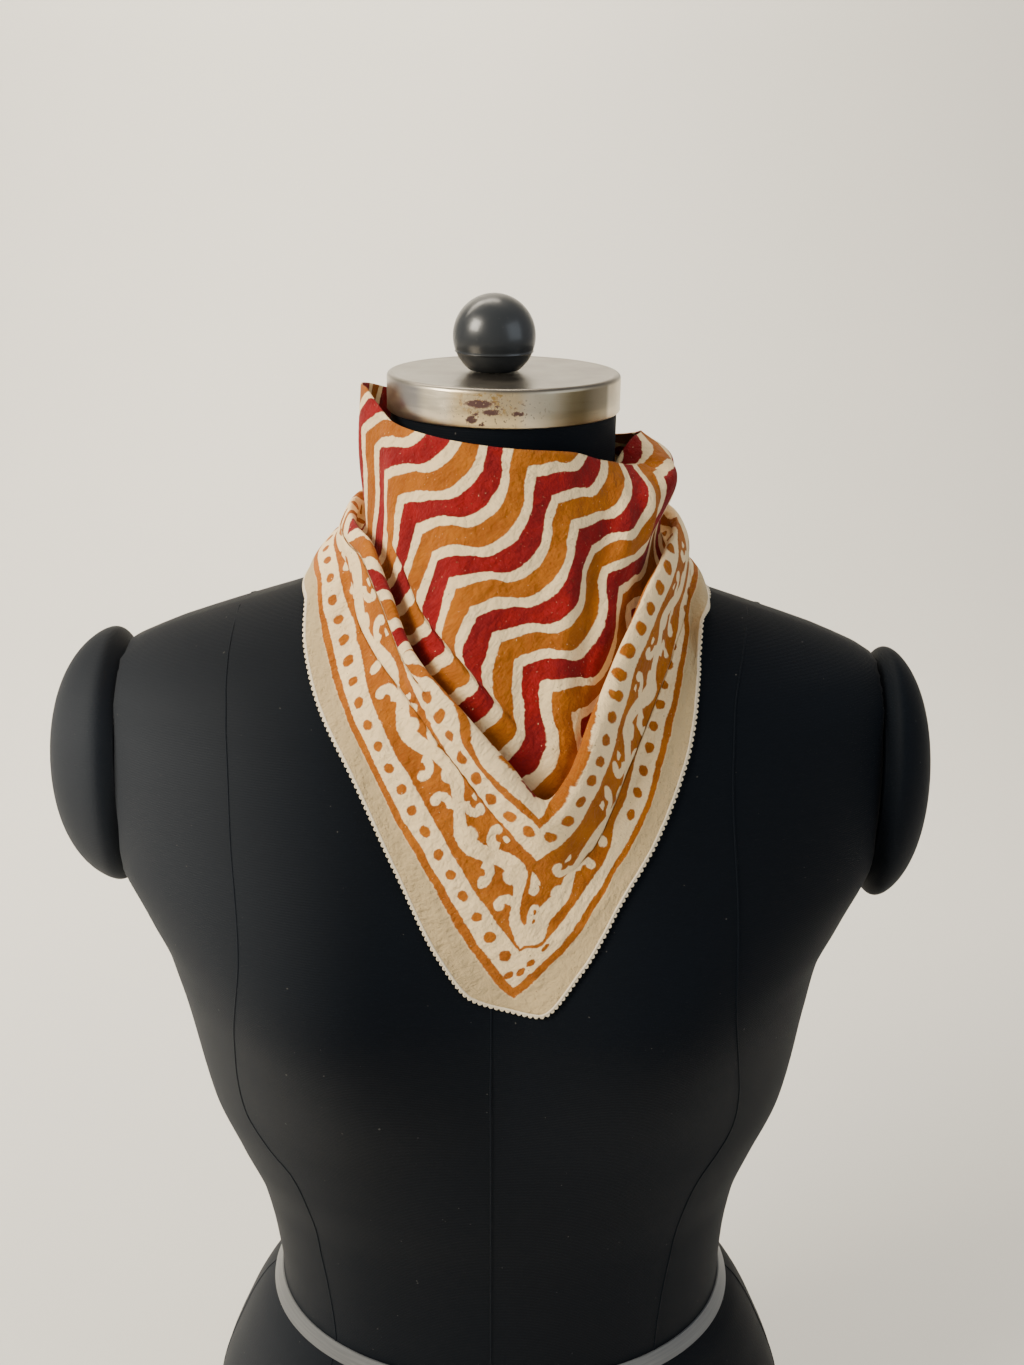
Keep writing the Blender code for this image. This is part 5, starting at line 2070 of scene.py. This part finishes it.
share = -np.cos(np.linspace(0.0, math.pi, KNOT_RINGS))[:, None]
around = (np.arange(KNOT_SIDES) * 2.0 * math.pi / KNOT_SIDES)[None, :]
size = np.abs(share)
full = KNOT_END + (1.0 - KNOT_END) * np.sqrt(1.0 - size ** KNOT_ROUND)
groove = np.exp(-(((size - KNOT_GROOVE) / KNOT_GROOVE_WIDTH) ** 2))
full = full * (1.0 - KNOT_GROOVE_DEPTH * groove)
on_band = 1.0 / (1.0 + np.exp((size - KNOT_GROOVE) / KNOT_BAND_EDGE))
band_fold = BAND_FOLD_RISE * np.cos(BAND_FOLDS * share + BAND_SWING * np.sin(around + BAND_TURN))
lobe_turns = LOBE_FOLDS * around + LOBE_LEAN * share + np.sin(LOBE_SWINGS * around)
lobe_fold = LOBE_FOLD_RISE * np.cos(lobe_turns)
fold = 1.0 + KNOT_FOLD_RISE * np.cos(KNOT_FOLDS * around + KNOT_LEAN * share)
fold = (fold + on_band * band_fold + (1.0 - on_band) * lobe_fold) * full
knot_points = np.stack(
    [
        KNOT_HALF_WIDTH * share + 0.0 * around,
        KNOT_BACK + KNOT_HALF_DEPTH * fold * np.cos(around),
        CAP_TOP - KNOT_DROP + KNOT_HALF_HEIGHT * fold * np.sin(around),
    ],
    axis=-1,
).transpose(1, 0, 2)
knot_points = knot_points.reshape(-1, 3)
knot_faces = closed_faces(KNOT_SIDES, KNOT_RINGS)
knot = face_outwards(link_mesh("kerchief_knot_folds", knot_points, knot_faces, print_finish))
knot_cut = knot.data.uv_layers.new(name="flat_cut")
knot_turns = [
    math.atan2(v.co.z - CAP_TOP + KNOT_DROP, v.co.y - KNOT_BACK) / (2.0 * math.pi)
    for v in knot.data.vertices
]
for loop in knot.data.loops:
    way = abs(knot_turns[loop.vertex_index])
    along = knot.data.vertices[loop.vertex_index].co.x / KNOT_HALF_WIDTH
    knot_cut.data[loop.index].uv = (
        KNOT_CUT_START[0] + KNOT_CUT_SIZE[0] * way * 2.0,
        KNOT_CUT_START[1] + KNOT_CUT_SIZE[1] * along,
    )
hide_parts("kerchief_knot")
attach(knot, "root")
print("knot faces", len(knot.data.polygons))

# %% [markdown]
# ## The two tails
# The ends below the knot are the far corners of the square, folded and pointed. Each is a leaf on
# a table of widths that lies on the form's back, with one soft pleat down its length. Its flat
# cut runs to the square's corner, so the border and its corner print show on it.

# %% Tails
TAIL_COLUMNS = ("share", "side", "back", "drop", "half_width")
TAIL = (
    (0.00, 9.0, 79.0, 58.5, 5.5),
    (0.12, 14.0, 82.5, 66.0, 8.0),
    (0.30, 21.0, 84.0, 81.0, 12.0),
    (0.55, 29.0, 85.0, 104.0, 16.5),
    (0.78, 36.0, 88.5, 127.0, 12.0),
    (1.00, 42.0, 92.0, 150.0, 3.0),
)
TAIL_REST = 0.0017
TAIL_FOLD = 0.0028
TAIL_PLEATS = 1.5
TAIL_FULL = 0.0165
TAIL_SLOPE = math.radians(28.0)
TAIL_STEPS = 90
TAIL_ACROSS = 44
TAIL_SHELL = 0.0012
TAIL_RIPPLE = 0.0005
TAIL_RIPPLES_ACROSS = 9.0
TAIL_RIPPLES_ALONG = 14.0
TAIL_LENGTH = 0.100
TAIL_CORNER_GAP = 0.004
TAIL_CUT_WIDER = 1.15


def make_tail(name, side):
    """One pointed end of the cloth, and its hem's line."""
    share = np.linspace(0.0, 1.0, TAIL_STEPS)[:, None]
    across = np.linspace(-1.0, 1.0, TAIL_ACROSS)[None, :]
    here = {key: table_value(TAIL, TAIL_COLUMNS, key, share) * MM for key in TAIL_COLUMNS[1:]}
    pleats = np.cos(TAIL_PLEATS * math.pi * across)
    pleat = TAIL_FOLD * (here["half_width"] / TAIL_FULL) ** 2 * pleats
    ripple = np.sin(TAIL_RIPPLES_ACROSS * across + TAIL_RIPPLES_ALONG * share)
    pleat = pleat + TAIL_RIPPLE * ripple * np.sin(math.pi * share)
    x = here["side"] + here["half_width"] * across * math.cos(TAIL_SLOPE)
    z = CAP_TOP - here["drop"] + here["half_width"] * across * math.sin(TAIL_SLOPE)
    grid = np.stack([side * x, here["back"] + pleat, z], axis=-1)
    grid = rest_on_form(grid, np.full(grid.shape[:2], TAIL_REST))
    from_hem = (across + 1.0) * here["half_width"] * TAIL_CUT_WIDER
    corner = SQUARE_SIDE - TAIL_CORNER_GAP
    to_corner = corner - (1.0 - share) * TAIL_LENGTH + 0.0 * across
    flat = np.stack([from_hem, to_corner] if side < 0 else [to_corner, from_hem], axis=-1)
    made = shell_from_grid(name, grid, flat, TAIL_SHELL, print_finish)
    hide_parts(name.replace("_end", ""))
    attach(made, "root")
    return made, grid, flat


def cut_area(flat):
    """The area of a grid of flat coordinates."""
    a = flat[1:, 1:] - flat[:-1, :-1]
    b = flat[:-1, 1:] - flat[1:, :-1]
    return float(np.abs(a[..., 0] * b[..., 1] - a[..., 1] * b[..., 0]).sum() / 2.0)


tail_left, tail_left_grid, tail_left_flat = make_tail("kerchief_tail_left_end", -1)
tail_right, tail_right_grid, tail_right_flat = make_tail("kerchief_tail_right_end", 1)
print("tail areas", round(cut_area(tail_left_flat), 5), round(cut_area(tail_right_flat), 5))

# %% [markdown]
# ## Stitches along the hem
# The edge is overlocked: a fine cord of thread with a small loop over it every few millimetres.
# Hundreds of equal loops on a path are work for Geometry Nodes: the hem is resampled at the
# stitch's pitch, a loop is set on each point and turned to the cloth, and all of it is realized.

# %% Hem stitches
STITCH_SIZES = {
    "Pitch": 0.0026,
    "Thread Radius": 0.00052,
    "Cord Radius": 0.00075,
    "Loop Height": 0.0024,
}
LOOP_HALF = 0.0010
LOOP_BENDS = 8
THREAD_SIDES = 5
CORD_SIDES = 6


def stitch_tree(finish):
    """Geometry Nodes that set thread loops along a line and wrap a cord along it."""
    tree = bpy.data.node_groups.new("hem_stitch_tree", "GeometryNodeTree")
    face = tree.interface
    face.new_socket("Geometry", in_out="INPUT", socket_type="NodeSocketGeometry")
    for name, value in STITCH_SIZES.items():
        face.new_socket(name, in_out="INPUT", socket_type="NodeSocketFloat").default_value = value
    face.new_socket("Geometry", in_out="OUTPUT", socket_type="NodeSocketGeometry")

    def add(kind, settings=None, values=None):
        node = tree.nodes.new(kind)
        for key, value in (settings or {}).items():
            setattr(node, key, value)
        for key, value in (values or {}).items():
            if isinstance(value, bpy.types.NodeSocket):
                tree.links.new(value, node.inputs[key])
            else:
                node.inputs[key].default_value = value
        return node

    def swept(line, sides, radius):
        values = {"Resolution": sides, "Radius": radius}
        ring = add("GeometryNodeCurvePrimitiveCircle", {"mode": "RADIUS"}, values).outputs[0]
        values = {"Curve": line, "Profile Curve": ring, "Fill Caps": True}
        return add("GeometryNodeCurveToMesh", None, values).outputs[0]

    def turned_to(axis, pivot, values):
        settings = {"axis": axis, "pivot_axis": pivot}
        return add("FunctionNodeAlignRotationToVector", settings, values).outputs[0]

    given = add("NodeGroupInput").outputs
    line = add("GeometryNodeMeshToCurve", None, {"Mesh": given["Geometry"]}).outputs[0]
    values = {"Curve": line, "Length": given["Pitch"]}
    beads = add("GeometryNodeResampleCurve", {"mode": "LENGTH"}, values).outputs[0]
    arc_start = add("ShaderNodeCombineXYZ", None, {"X": -LOOP_HALF}).outputs[0]
    arc_top = add("ShaderNodeCombineXYZ", None, {"Y": given["Loop Height"]}).outputs[0]
    arc_end = add("ShaderNodeCombineXYZ", None, {"X": LOOP_HALF}).outputs[0]
    values = {"Start": arc_start, "Middle": arc_top, "End": arc_end, "Resolution": LOOP_BENDS}
    arc = add("GeometryNodeCurveQuadraticBezier", None, values).outputs[0]
    loop = swept(arc, THREAD_SIDES, given["Thread Radius"])
    tangent = add("GeometryNodeInputTangent").outputs[0]
    settings = {"data_type": "FLOAT_VECTOR"}
    lay = add("GeometryNodeInputNamedAttribute", settings, {"Name": "lay"}).outputs[0]
    turn = turned_to("X", "AUTO", {"Vector": tangent})
    turn = turned_to("Z", "X", {"Rotation": turn, "Vector": lay})
    values = {"Points": beads, "Instance": loop, "Rotation": turn}
    set_out = add("GeometryNodeInstanceOnPoints", None, values).outputs[0]
    cord = swept(line, CORD_SIDES, given["Cord Radius"])
    joined = add("GeometryNodeJoinGeometry")
    tree.links.new(cord, joined.inputs[0])
    tree.links.new(set_out, joined.inputs[0])
    whole = add("GeometryNodeRealizeInstances", None, {"Geometry": joined.outputs[0]}).outputs[0]
    values = {"Geometry": whole, "Material": finish}
    painted = add("GeometryNodeSetMaterial", None, values).outputs[0]
    add("NodeGroupOutput", None, {"Geometry": painted})
    return tree


THREAD_TONE = 900.0
THREAD_TWIST = (2200.0, 2200.0, 2200.0)
TWIST_NOISE = (1.0, 1.0)
THREAD_BUMP = (0.0001, 0.6)
THREAD_DARK = ink(205, 186, 152)
THREAD_LIGHT = ink(236, 224, 200)
thread_finish = Finish("hem_thread", roughness=0.75, sheen_weight=0.15)
thread_place = thread_finish.coordinates()
thread_tone = thread_finish.noise(thread_place, THREAD_TONE)
twist = thread_finish.noise(thread_finish.scaled(thread_place, THREAD_TWIST), *TWIST_NOISE)
thread_finish.finish(
    base_color=thread_finish.mixed(thread_tone, THREAD_DARK, THREAD_LIGHT),
    normal=thread_finish.bump(twist, *THREAD_BUMP),
)
hem_tree = stitch_tree(thread_finish.made)


def stitched_line(name, grid, row, outer):
    """Hem stitches along a row of a grid; outer is 1 or -1, for the side that faces out."""
    lay = grid_normals(grid)[:, row] * outer
    made = link_mesh(name, grid[:, row], [])
    made.data.edges.add(len(grid) - 1)
    for i, edge in enumerate(made.data.edges):
        edge.vertices = (i, i + 1)
    made.data.attributes.new("lay", "FLOAT_VECTOR", "POINT")
    made.data.attributes["lay"].data.foreach_set("vector", np.asarray(lay, np.float32).ravel())
    modifier = made.modifiers.new("stitches", "NODES")
    modifier.node_group = hem_tree
    sockets = {item.name: item for item in hem_tree.interface.items_tree if item.in_out == "INPUT"}
    for size, value in STITCH_SIZES.items():
        modifier[sockets[size].identifier] = value
    seen = made.evaluated_get(bpy.context.evaluated_depsgraph_get())
    mesh = bpy.data.meshes.new_from_object(seen)
    made.modifiers.clear()
    made.data = mesh
    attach(made, "root")
    return made


kerchief_hem = stitched_line("kerchief_hem_stitches", cloth_grid, -1, 1.0)
tail_left_hem = stitched_line("tail_left_hem_stitches", tail_left_grid, 0, -1.0)
tail_right_hem = stitched_line("tail_right_hem_stitches", tail_right_grid, 0, -1.0)
print("hem stitch faces", len(kerchief_hem.data.polygons))

# %% [markdown]
# ## Sheets, sizes and the end
# A sheet's flat size is the cloth that a maker would cut for it. The kerchief is the square folded
# on its diagonal, and its area is the part of it that shows.

# %% Sheets and last lines
flat_area = cut_area(flat_cut)
print("flat area of what shows", round(flat_area, 4))
for tail, hem, flat in (
    (tail_left, tail_left_hem, tail_left_flat),
    (tail_right, tail_right_hem, tail_right_flat),
):
    round(cut_area(flat), 5)
